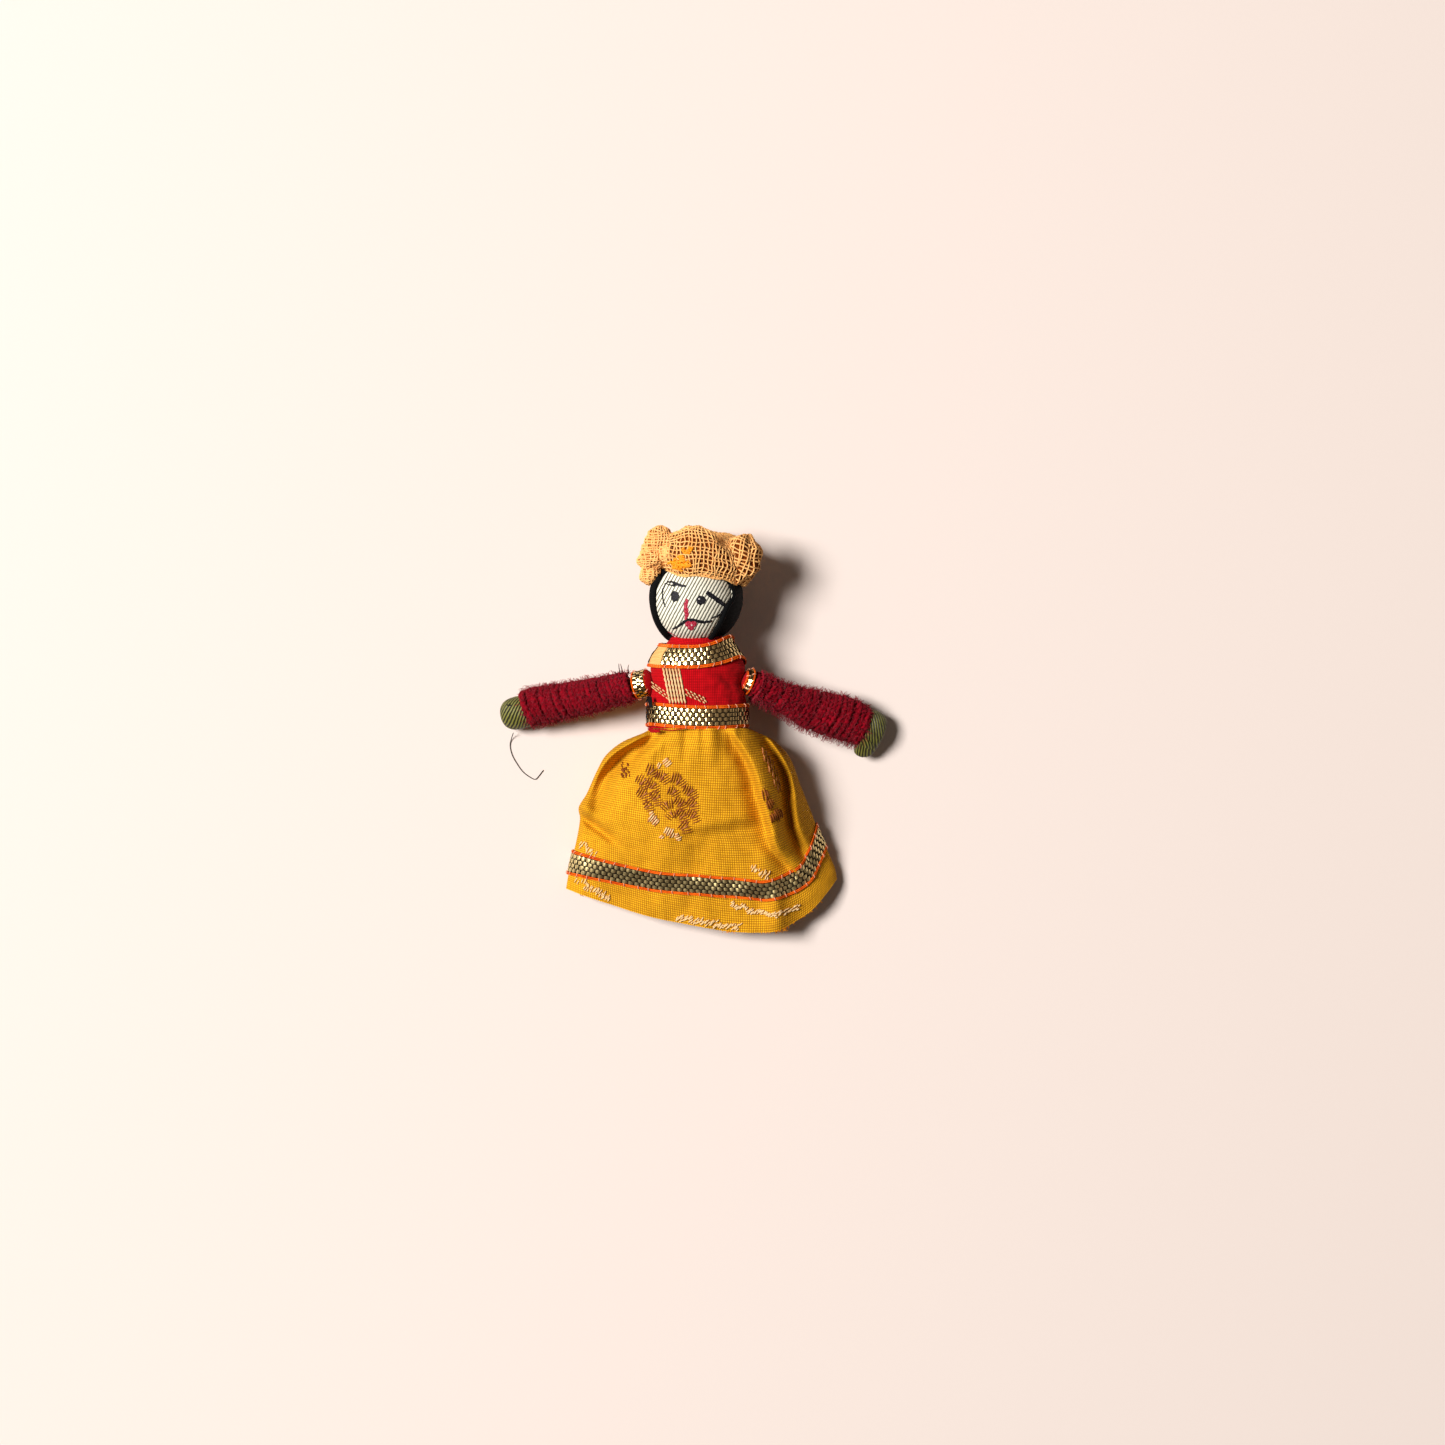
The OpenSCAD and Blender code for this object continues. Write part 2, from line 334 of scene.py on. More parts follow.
@dataclass(frozen=True)
class SpunFibre(Finish):
    """Yarn, floss or thread: fine fibres twisted round it, in shades of one colour.

    Attributes:
        dark: Colour in its hollows.
        fibre: Distance between the fibres that show, in millimetres.
        twist: How far a fibre runs along for each millimetre round.
        depth: How high the fibres stand, in millimetres.
    """

    dark: str = "#300000"
    fibre: float = 0.16
    twist: float = 0.9
    depth: float = 0.05

    def dress(self, tree: bpy.types.NodeTree, shader: bpy.types.Node) -> None:
        """Wind streaks round the thread and cloud its shade from place to place."""
        slanted = add_node(
            tree, "Mapping",
            {"Vector": self.place_mm(tree), "Rotation": (0, 0, math.atan(self.twist))},
        ).outputs[0]
        drawn = add_node(
            tree, "Mapping", {"Vector": slanted, "Scale": (1 / self.fibre, 0.2 / self.fibre, 1)}
        ).outputs[0]
        streak = add_node(tree, "TexNoise", {"Vector": drawn, "Scale": 1.0, "Detail": 2.0}).outputs[0]
        cloud = add_node(
            tree, "TexNoise", {"Vector": self.place_mm(tree), "Scale": 0.25, "Detail": 1.0}
        ).outputs[0]
        summed = add_node(tree, "Math", {0: streak, 1: cloud}, operation="ADD").outputs[0]
        amount = add_node(
            tree, "MapRange", {0: summed, 1: 0.7, 2: 1.2, 3: 0.0, 4: 1.0}
        ).outputs[0]
        self.shade(tree, shader, self.dark, amount, streak, self.depth)


@dataclass(frozen=True)
class GiltMetal(Finish):
    """Flattened gilt wire: bright metal with fine rolling marks and faint tarnish.

    Attributes:
        tarnish: Colour of the worn gilding.
    """

    tarnish: str = "#8a6a34"

    def dress(self, tree: bpy.types.NodeTree, shader: bpy.types.Node) -> None:
        """Make the shader metal, mark it along its length and tarnish it in patches."""
        shader.inputs["Metallic"].default_value = 1.0
        marks = add_node(
            tree, "TexNoise",
            {"Vector": self.place_mm(tree, (1.0, 9.0, 1.0)), "Scale": 1.4, "Detail": 3.0},
        ).outputs[0]
        amount = add_node(
            tree, "MapRange", {0: marks, 1: 0.28, 2: 0.5, 3: 0.25, 4: 1.0}
        ).outputs[0]
        self.shade(tree, shader, self.tarnish, amount, marks, 0.015)


@dataclass(frozen=True)
class BareWood(Finish):
    """Bare turned or split wood: long streaks of grain, read in the solid's own space.

    Attributes:
        grain: Colour of the dark grain.
        ring: Distance between grain lines, in millimetres.
    """

    grain: str = "#6b4524"
    ring: float = 0.9

    def dress(self, tree: bpy.types.NodeTree, shader: bpy.types.Node) -> None:
        """Draw grain along the doll, in streaks much longer than they are wide."""
        drawn = self.place_mm(tree, (1 / self.ring, 0.06 / self.ring, 1 / self.ring))
        streak = add_node(
            tree, "TexNoise", {"Vector": drawn, "Scale": 1.0, "Detail": 4.0, "Distortion": 0.4}
        ).outputs[0]
        amount = add_node(
            tree, "MapRange", {0: streak, 1: 0.35, 2: 0.62, 3: 0.1, 4: 1.0}
        ).outputs[0]
        self.shade(tree, shader, self.grain, amount, streak, 0.05)


@dataclass(frozen=True)
class DriedInk(Finish):
    """Ink drawn on cloth: dark, a little thinner where the pen ran dry.

    Attributes:
        thin: Colour where little ink took.
    """

    thin: str = "#404048"

    def dress(self, tree: bpy.types.NodeTree, shader: bpy.types.Node) -> None:
        """Let the cloth's grain show through the ink in specks."""
        specks = add_node(
            tree, "TexNoise", {"Vector": self.place_mm(tree), "Scale": 3.2, "Detail": 2.0}
        ).outputs[0]
        amount = add_node(
            tree, "MapRange", {0: specks, 1: 0.36, 2: 0.5, 3: 0.0, 4: 1.0}
        ).outputs[0]
        self.shade(tree, shader, self.thin, amount, specks, 0.03)


@dataclass(frozen=True)
class PaintedBoard(Finish):
    """The table: smooth pale painted board with a faint roller texture."""

    def dress(self, tree: bpy.types.NodeTree, shader: bpy.types.Node) -> None:
        """Raise the roller's fine texture."""
        texture = add_node(
            tree, "TexNoise", {"Vector": self.place_mm(tree), "Scale": 0.8, "Detail": 3.0}
        ).outputs[0]
        bump = add_node(tree, "Bump", {"Height": texture, "Distance": 0.03 * MM, "Strength": 0.4})
        tree.links.new(bump.outputs[0], shader.inputs["Normal"])


# Cream cotton twill with clear ribs: matt, with grey lines that lean across the face. Its ribs are
# 0.6 mm apart on the doll, and a little coarser here so that they show.
FACE_TWILL = Twill(
    "cream_cotton_twill", "face_twill", "#f2f0dc", 0.9, 0.0, 0.1, pitch=0.78, lean=61, gap="#55574b",
    line=0.42
)
# Close black poplin: nearly black, with a faint grey bloom where it turns away.
HAIR_POPLIN = WovenCotton(
    "black_poplin", "hair_cloth", "#0a0c0e", 0.75, 0.0, 0.1, pitch=0.5, gap="#020203", depth=0.05
)
# Red poplin of the bodice and neck: strong and matt.
RED_POPLIN = WovenCotton(
    "red_poplin", "red_cloth", "#cf0a16", 0.85, 0.03, 0.08, pitch=0.4, gap="#8a0008", depth=0.06
)
# Cream brocade thread: low twist, a little glossy.
CREAM_FLOAT = SpunFibre("cream_brocade_thread", "red_cloth", "#f0d6a4", 0.6, 0.0, 0.2, dark="#b98448")
# Golden cotton cambric: an open weave that shows grey-green between its threads on the doll. Here its gaps
# are painted a darker orange, partly the open weave and partly painted shade: the orange that light bounced
# in the yellow cloth gives its shadows. Drawn at
# 0.56 mm, a third coarser than its real 0.43 mm, so that it shows.
SKIRT_CAMBRIC = WovenCotton(
    "golden_cambric", "skirt_cotton", "#fdbd22", 0.85, 0.0, 0.08, pitch=0.56, gap="#a86c10", depth=0.1,
    slub=0.3, thin=0.16,
)
# Brown and copper brocade threads of the skirt's flowers.
BROWN_FLOAT = SpunFibre("brown_brocade_thread", "skirt_cotton", "#b06026", 0.65, 0.0, 0.2, dark="#6e340a")
COPPER_FLOAT = SpunFibre("copper_brocade_thread", "skirt_cotton", "#e09a60", 0.6, 0.0, 0.25, dark="#a05a20")
PALE_FLOAT = SpunFibre("pale_brocade_thread", "skirt_cotton", "#fbe4b4", 0.6, 0.0, 0.25, dark="#dfae62")
# Undyed muslin inside the skirt.
MUSLIN = WovenCotton("undyed_muslin", "lining_cotton", "#d9d4c4", 0.9, 0.0, 0.1, pitch=0.5, gap="#9a937f")
# Gilt lace strips: mirror-bright where they face the lamp.
GILT = GiltMetal("gilt_lace_metal", "gota_ribbon", "#ecd194", 0.19)
# The same lace where it has rubbed along the hem: a broad, softer shine.
RUBBED_GILT = GiltMetal("rubbed_gilt_lace_metal", "gota_ribbon", "#fbe6a6", 0.38, tarnish="#c4a660")
# Brown cotton that the gilt is woven on, seen as dark gaps.
LACE_WEFT = SpunFibre("brown_lace_weft", "gota_ribbon", "#24180a", 0.8, 0.0, 0.1, dark="#0c0602")
# Orange cotton edge cords of the ribbon.
ORANGE_CORD = SpunFibre(
    "orange_edge_cord", "gota_ribbon", "#f87014", 0.8, 0.0, 0.1, dark="#c03a06", fibre=0.2
)
# Pink-white sewing thread that holds the ribbon down.
STITCH = SpunFibre("pale_stitch_thread", "gota_ribbon", "#f5c0a0", 0.6, 0.0, 0.2, dark="#d97c50")
# Plain peach cotton tape at the ribbon's cut end. Its pale colour also paints the highlight where the lamp
# blows the collar's gold out to a pale blank.
TAPE_AND_GLARE = WovenCotton("peach_cotton_tape", "gota_ribbon", "#f6c684", 0.85, 0.0, 0.1, pitch=0.34, gap="#d59a52")
# Soft two-ply wool: dark red, very matt, with loose fibre.
WOOL = SpunFibre(
    "dark_red_wool", "wool", "#8e0a1c", 1.0, 0.04, 0.03, dark="#48030b", fibre=0.22, twist=1.1, depth=0.1
)
# Loose fibres, a brighter red than the wool they come from: a painted highlight for the light that the fibre
# halo catches.
WOOL_HAIR = SpunFibre("loose_wool_fibre", "wool", "#b41a34", 1.0, 0.1, 0.0, dark="#6c0616")
# Olive ribbed ribbon of the hands: diagonal ribs, drawn a little coarse. Its colour is paler on the rib
# crests and near black in the hollows between them: a painted highlight on the ribs and painted shade in the
# hollows, over the ribbon's own olive.
OLIVE_RIBBON = Twill(
    "olive_ribbed_ribbon", "hand_ribbon", "#b2b04e", 0.5, 0.0, 0.4, pitch=0.95, lean=48, gap="#1c1e06",
    line=0.78, depth=0.2
)
# Peach cotton net of the turban: round matt threads.
NET = SpunFibre("peach_cotton_net", "turban_net", "#ffcc84", 0.85, 0.0, 0.1, dark="#e8a054", fibre=0.2)
# Brown layer that shows through the net's holes, and its paler peach part.
TURBAN_BROWN = WovenCotton(
    "brown_turban_cotton", "turban_lining", "#9a4e16", 0.9, 0.0, 0.05, pitch=0.5, gap="#4a1e04"
)
TURBAN_PEACH = WovenCotton(
    "peach_turban_cotton", "turban_net", "#d8924a", 0.9, 0.0, 0.05, pitch=0.5, gap="#7e4012"
)
# Yellow-orange floss between the net and the brown layer.
FLOSS = SpunFibre("yellow_floss", "fleck_floss", "#ffb014", 0.5, 0.0, 0.3, dark="#f08206", fibre=0.15)
# Pen and paint strokes of the face, and white dots that are painted highlights: the lamp's glints on an eye
# and on the lips.
BLACK_INK = DriedInk("black_ink", "face_twill", "#0b0b10", 0.6, 0.0, 0.2, thin="#303038")
RED_INK = DriedInk("red_ink", "face_twill", "#9c0c2a", 0.65, 0.0, 0.2, thin="#cf5c70")
# Drawn with the ink finish, but it stands for the lamp's glint: a painted highlight.
PAINTED_GLINT = DriedInk("white_paint_dot", "face_twill", "#dcd8d2", 0.5, 0.0, 0.2, thin="#a9a69c")
# Threads.
BLACK_THREAD = SpunFibre("black_sewing_thread", "sewing_thread", "#101014", 0.7, 0.0, 0.2, dark="#020203")
GREY_THREAD = SpunFibre("grey_sewing_thread", "sewing_thread", "#3e443c", 0.6, 0.0, 0.2, dark="#22251f")
RED_THREAD = SpunFibre("red_gathering_thread", "gather_thread", "#c4141a", 0.7, 0.0, 0.1, dark="#5a0406")
SKIRT_FRAY = SpunFibre("frayed_gold_thread", "skirt_cotton", "#f7a510", 0.85, 0.0, 0.1, dark="#c87408")
# Undyed cotton rag, rolled and tied for the doll's padding.
RAG = WovenCotton("rolled_cotton_rag", "padding", "#d8d2c2", 0.9, 0.0, 0.1, pitch=0.5, gap="#8d8674")
# Solids that stay as they are made: bamboo, turned wood, knots and threads.
SPLIT_BAMBOO = BareWood("split_bamboo", "stick_wood", "#cfa96c", 0.6, 0.0, 0.4, True)
TURNED_MANGO = BareWood("turned_mango_wood", "head_wood", "#c09a6a", 0.65, 0.0, 0.4, True, ring=1.4)
KNOT_WOOL = SpunFibre("wool_knot", "wool", "#8e1022", 0.95, 0.1, 0.05, True, dark="#3c030c")
TIE_THREAD = SpunFibre("tie_thread", "sewing_thread", "#16161a", 0.6, 0.0, 0.2, True, dark="#050506")
GATHER_SOLID = SpunFibre("gather_cord", "gather_thread", "#c81c24", 0.6, 0.0, 0.1, True, dark="#6b0508")
TABLE = PaintedBoard("pale_painted_board", "lining_cotton", "#ddd2cb", 0.6, 0.0, 0.2, True)


# ---- Curves and meshes ----


def along(knots: Knots, at: float) -> float:
    """Read a smooth curve that passes through its knots.

    Args:
        knots: Pairs of place and value, in order of place.
        at: The place to read.

    Returns:
        The curve's value there, held level past the ends.
    """
    at = min(max(at, knots[0][0]), knots[-1][0])
    last = len(knots) - 1
    k = min(bisect_right(knots, at, key=lambda knot: knot[0]), last) - 1
    slopes = []
    for i in (k, k + 1):
        before, after = knots[max(i - 1, 0)], knots[min(i + 1, last)]
        slopes.append((after[1] - before[1]) / (after[0] - before[0]))
    span = knots[k + 1][0] - knots[k][0]
    s = (at - knots[k][0]) / span
    start = (2 * s**3 - 3 * s**2 + 1) * knots[k][1] + (s**3 - 2 * s**2 + s) * span * slopes[0]
    finish = (3 * s**2 - 2 * s**3) * knots[k + 1][1] + (s**3 - s**2) * span * slopes[1]
    return start + finish


def smooth_path(points: Sequence[Vector], count: int) -> list[Vector]:
    """Draw a smooth line through a few points.

    Args:
        points: The points that it passes, in millimetres.
        count: How many points to give back.

    Returns:
        Points spread evenly from the first to the last by number.
    """
    knots = [[(i, p[axis]) for i, p in enumerate(points)] for axis in range(3)]
    last = len(points) - 1
    return [Vector([along(knots[a], last * i / (count - 1)) for a in range(3)]) for i in range(count)]


def bump(at: float, centre: float, before: float, after: float) -> float:
    """Give a rounded hump of height 1."""
    return math.exp(-(((at - centre) / (before if at < centre else after)) ** 2))


def ease(at: float, low: float, high: float) -> float:
    """Rise smoothly from 0 at low to 1 at high."""
    s = min(max((at - low) / (high - low), 0.0), 1.0)
    return s * s * (3 - 2 * s)


def wrinkle(x: float, y: float, size: float, seed: float = 0.0) -> float:
    """Give a steady random height, about -1 to 1, that changes over lengths of size."""
    return noise.noise(Vector((x / size, y / size, seed)))


def carry_frames(points: Sequence[Vector]) -> list[tuple[Vector, Vector, Vector]]:
    """Carry a pair of side directions along a line without twisting them.

    Args:
        points: The line's points.

    Returns:
        For each point, the point and two directions square to the line.
    """
    last = len(points) - 1
    frames = []
    across = None
    for i, point in enumerate(points):
        ahead = (points[min(i + 1, last)] - points[max(i - 1, 0)]).normalized()
        if across is None:
            across = ahead.orthogonal()
        across = (across - ahead * across.dot(ahead)).normalized()
        frames.append((point, across, ahead.cross(across)))
    return frames


def bend_grid(bm: bmesh.types.BMesh, cells: tuple[int, int], place: Place, flat: Layout) -> None:
    """Add a flat grid to a mesh and bend it into shape.

    Args:
        bm: The mesh.
        cells: How many cells the grid has each way.
        place: Gives the point, in millimetres, for shares from 0 to 1 of the grid's two ways.
        flat: The grid's size when it lies flat, in millimetres, kept as its layout, or what gives
            the layout for the same two shares.
    """
    layer = bm.loops.layers.uv.get(FLAT) or bm.loops.layers.uv.new(FLAT)
    made = bmesh.ops.create_grid(bm, x_segments=cells[0], y_segments=cells[1], size=0.5)["verts"]
    shares = {vert: (vert.co.x + 0.5, vert.co.y + 0.5) for vert in made}
    if callable(flat):
        layout = {vert: flat(*share) for vert, share in shares.items()}
    else:
        layout = {vert: (across * flat[0], up * flat[1]) for vert, (across, up) in shares.items()}
    for face in {face for vert in made for face in vert.link_faces}:
        face.smooth = True
        for loop in face.loops:
            loop[layer].uv = layout[loop.vert]
    for vert, (across, up) in shares.items():
        vert.co = place(across, up) * MM


def add_thread(
    bm: bmesh.types.BMesh, points: Sequence[Vector], radius: float, sides: int = 5,
    plies: int = 1, lay: float = 1.6, taper: float = 0.0,
) -> None:
    """Add a thread along a line, its ends drawn to a point.

    Args:
        bm: The mesh.
        points: The line's points, in millimetres.
        radius: Half the thread's thickness.
        sides: How many sides it has.
        plies: How many strands it is twisted from.
        lay: Length of one full twist of the strands.
        taper: Share by which it thins towards its last point.
    """
    frames = carry_frames(points)
    runs = distances(points)
    last = len(points) - 1

    def place(across: float, up: float) -> Vector:
        """Put one point of the thread's skin round its line."""
        at = round(up * last)
        centre, side, rise = frames[at]
        angle = math.tau * across
        size = 0.0 if at in (0, last) else radius * (1 - taper * up)
        if plies > 1:
            size *= 0.86 + 0.26 * math.cos(plies * (angle - math.tau * runs[at] / (lay * plies)))
        return centre + size * (math.cos(angle) * side + math.sin(angle) * rise)

    bend_grid(bm, (sides, last), place, (math.tau * radius, runs[-1]))


def make_piece(
    bm: bmesh.types.BMesh, name: str, body: str, finish: Finish, replaces: Sequence[str] = (),
    wall: float = 0.0,
) -> bpy.types.Object:
    """Turn a mesh into a finished piece that rides on one of the doll's bodies.

    Args:
        bm: The mesh, in place.
        name: The piece's name.
        body: The body that it moves with, or an empty name for none.
        finish: What it is made of.
        replaces: The design solids that it stands for.
        wall: Thickness to give a sheet, in millimetres.

    Returns:
        The new object.
    """
    bmesh.ops.remove_doubles(bm, verts=bm.verts, dist=SEAM_MM * MM)
    bmesh.ops.recalc_face_normals(bm, faces=bm.faces)
    if wall:
        for edge in bm.edges:
            edge.smooth = not edge.is_boundary
    mesh = bpy.data.meshes.new(name)
    bm.to_mesh(mesh)
    bm.free()
    mesh.materials.append(finish.material())
    piece = bpy.data.objects.new(name, mesh)
    bpy.context.scene.collection.objects.link(piece)
    if wall:
        solid = piece.modifiers.new("cloth_thickness", "SOLIDIFY")
        solid.thickness = wall * MM
        solid.offset = -1.0
    if body:
        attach(piece, body)
    if replaces:
        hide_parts(*replaces)
    LOG.info("%s: %d faces", name, len(mesh.polygons))
    return piece


def add_strip(
    bm: bmesh.types.BMesh, points: Sequence[Vector], ups: Sequence[Vector], widths: Sequence[float],
    crown: float = 0.04,
) -> None:
    """Add a narrow painted or pressed strip that lies on a surface.

    Args:
        bm: The mesh.
        points: Points of its middle line, in millimetres.
        ups: The surface's direction outwards at each point.
        widths: The strip's width at each point.
        crown: How much higher its middle is than its edges.
    """
    last = len(points) - 1

    def place(across: float, up: float) -> Vector:
        """Put one point of the strip beside its line."""
        at = round(up * last)
        ahead = points[min(at + 1, last)] - points[max(at - 1, 0)]
        side = ahead.cross(ups[at]).normalized()
        share = 2 * across - 1
        size = 0.0 if at in (0, last) else widths[at] / 2
        return points[at] + side * share * size + ups[at] * crown * (1 - share * share)

    bend_grid(bm, (4, last), place, (sum(widths) / len(widths), (points[-1] - points[0]).length))


def distances(points: Sequence[Vector]) -> list[float]:
    """List how far along a line each of its points is."""
    runs = [0.0]
    for before, after in zip(points, points[1:]):
        runs.append(runs[-1] + (after - before).length)
    return runs


# ---- Gilt ribbon ----


@dataclass
class GiltRibbon:
    """Gilt lace ribbon: flat metal strips that wave over brown wefts, between orange edge cords.

    Attributes:
        name: What its pieces' names start with.
        body: The body that it moves with.
        lay: Gives a point for a distance along it, a distance across it and a height over the cloth.
        length: How long it is.
        replaces: The design solids that it stands for.
        rows: How many metal strips lie side by side.
        pitch: Distance from one strip to the next.
        wave: Length of one wave of a strip.
        cord: Width of each edge cord.
        stitch_step: Distance between the stitches that hold it.
        start: Where the metal starts, past a plain end of tape whose pale colour is also a painted highlight.
        swing: How far a strip rises and falls, in millimetres.
        metal: Finish of the strips.
    """

    name: str
    body: str
    lay: Lay
    length: float
    replaces: Sequence[str] = ()
    rows: int = 4
    pitch: float = 1.05
    wave: float = 1.55
    cord: float = 0.85
    stitch_step: float = 2.6
    start: float = 0.0
    swing: float = 0.08
    metal: GiltMetal = GILT

    def half(self) -> float:
        """Half the width of the metal part."""
        return self.rows * self.pitch / 2

    def build(self) -> None:
        """Make the ribbon's ground, metal, wefts, cords, stitches and plain end."""
        self.build_ground()
        self.build_metal()
        self.build_wefts()
        self.build_cords()
        self.build_stitches()

    def build_ground(self) -> None:
        """Make the brown cloth that the metal is woven on, and its peach end, whose pale colour is also a
        painted highlight.
        """
        edge = self.half() + self.cord
        if self.start:
            bm = bmesh.new()
            bend_grid(
                bm, (8, 6), lambda a, b: self.lay(b * self.start, (2 * a - 1) * edge, 0.22),
                (2 * edge, self.start)
            )
            make_piece(bm, self.name + "_tape_end", self.body, TAPE_AND_GLARE, wall=0.15)
        bm = bmesh.new()
        cells = max(8, int((self.length - self.start) / 0.6))
        bend_grid(
            bm, (8, cells),
            lambda a, b: self.lay(self.start + b * (self.length - self.start), (2 * a - 1) * edge, 0.06),
            (2 * edge, self.length),
        )
        make_piece(bm, self.name + "_ground", self.body, LACE_WEFT, self.replaces)

    def build_metal(self) -> None:
        """Make the flat metal strips, each half a wave on from the next."""
        bm = bmesh.new()
        span = self.length - self.start
        for row in range(self.rows):
            middle = (row - (self.rows - 1) / 2) * self.pitch

            def place(across: float, up: float, row: int = row, middle: float = middle) -> Vector:
                """Put one point of a strip over or under its wefts."""
                run = self.start + up * span
                swing = math.cos(math.tau * run / self.wave + math.pi * row)
                share = 2 * across - 1
                lift = 0.2 + self.swing * math.tanh(1.6 * (swing + 0.3)) + 0.02 * (1 - share * share)
                return self.lay(run, middle + share * self.pitch * (0.38 + 0.08 * swing), lift)

            bend_grid(bm, (2, int(span / self.wave * 10)), place, (self.pitch, span))
        make_piece(bm, self.name + "_metal", self.body, self.metal)

    def build_wefts(self) -> None:
        """Make the brown threads that cross the metal at its hollows."""
        bm = bmesh.new()
        step = self.wave / 2
        for number in range(int(self.start / step) + 1, int(self.length / step)):
            points = []
            for at in range(2 * self.rows + 1):
                run, row = number * step, at / 2 - 0.5
                over = -math.cos(math.tau * run / self.wave + math.pi * row)
                points.append(self.lay(run, (row - (self.rows - 1) / 2) * self.pitch, 0.17 + 0.09 * over))
            add_thread(bm, points, 0.13, sides=4)
        make_piece(bm, self.name + "_wefts", self.body, LACE_WEFT)

    def build_cords(self) -> None:
        """Make the orange edges, each of two twisted cords side by side."""
        bm = bmesh.new()
        count = int(self.length / 0.3)
        for side in (-1, 1):
            for strand in (0.27, 0.75):
                off = side * (self.half() + strand * self.cord)
                points = [self.lay(self.length * i / count, off, 0.2) for i in range(count + 1)]
                add_thread(bm, points, 0.27 * self.cord, sides=6, plies=2, lay=0.8)
        make_piece(bm, self.name + "_edge_cords", self.body, ORANGE_CORD)

    def build_stitches(self) -> None:
        """Make the pale stitches that whip the edges down."""
        bm = bmesh.new()
        chance = random.Random(len(self.name))
        outer = self.half() + self.cord
        run = self.start + 1.2
        while run < self.length - 0.6:
            for side in (-1, 1):
                here = run + chance.uniform(-0.4, 0.4)
                lean = chance.uniform(0.15, 0.5)
                points = [
                    self.lay(here, side * (outer + 0.12), 0.02),
                    self.lay(here + lean * 0.4, side * (outer - 0.2), 0.5),
                    self.lay(here + lean * 0.8, side * (outer - 0.6), 0.52),
                    self.lay(here + lean, side * (outer - 0.95), 0.12),
                ]
                add_thread(bm, smooth_path(points, 7), 0.11)
            run += self.stitch_step
        make_piece(bm, self.name + "_stitches", self.body, STITCH)


# ---- Trunk ----


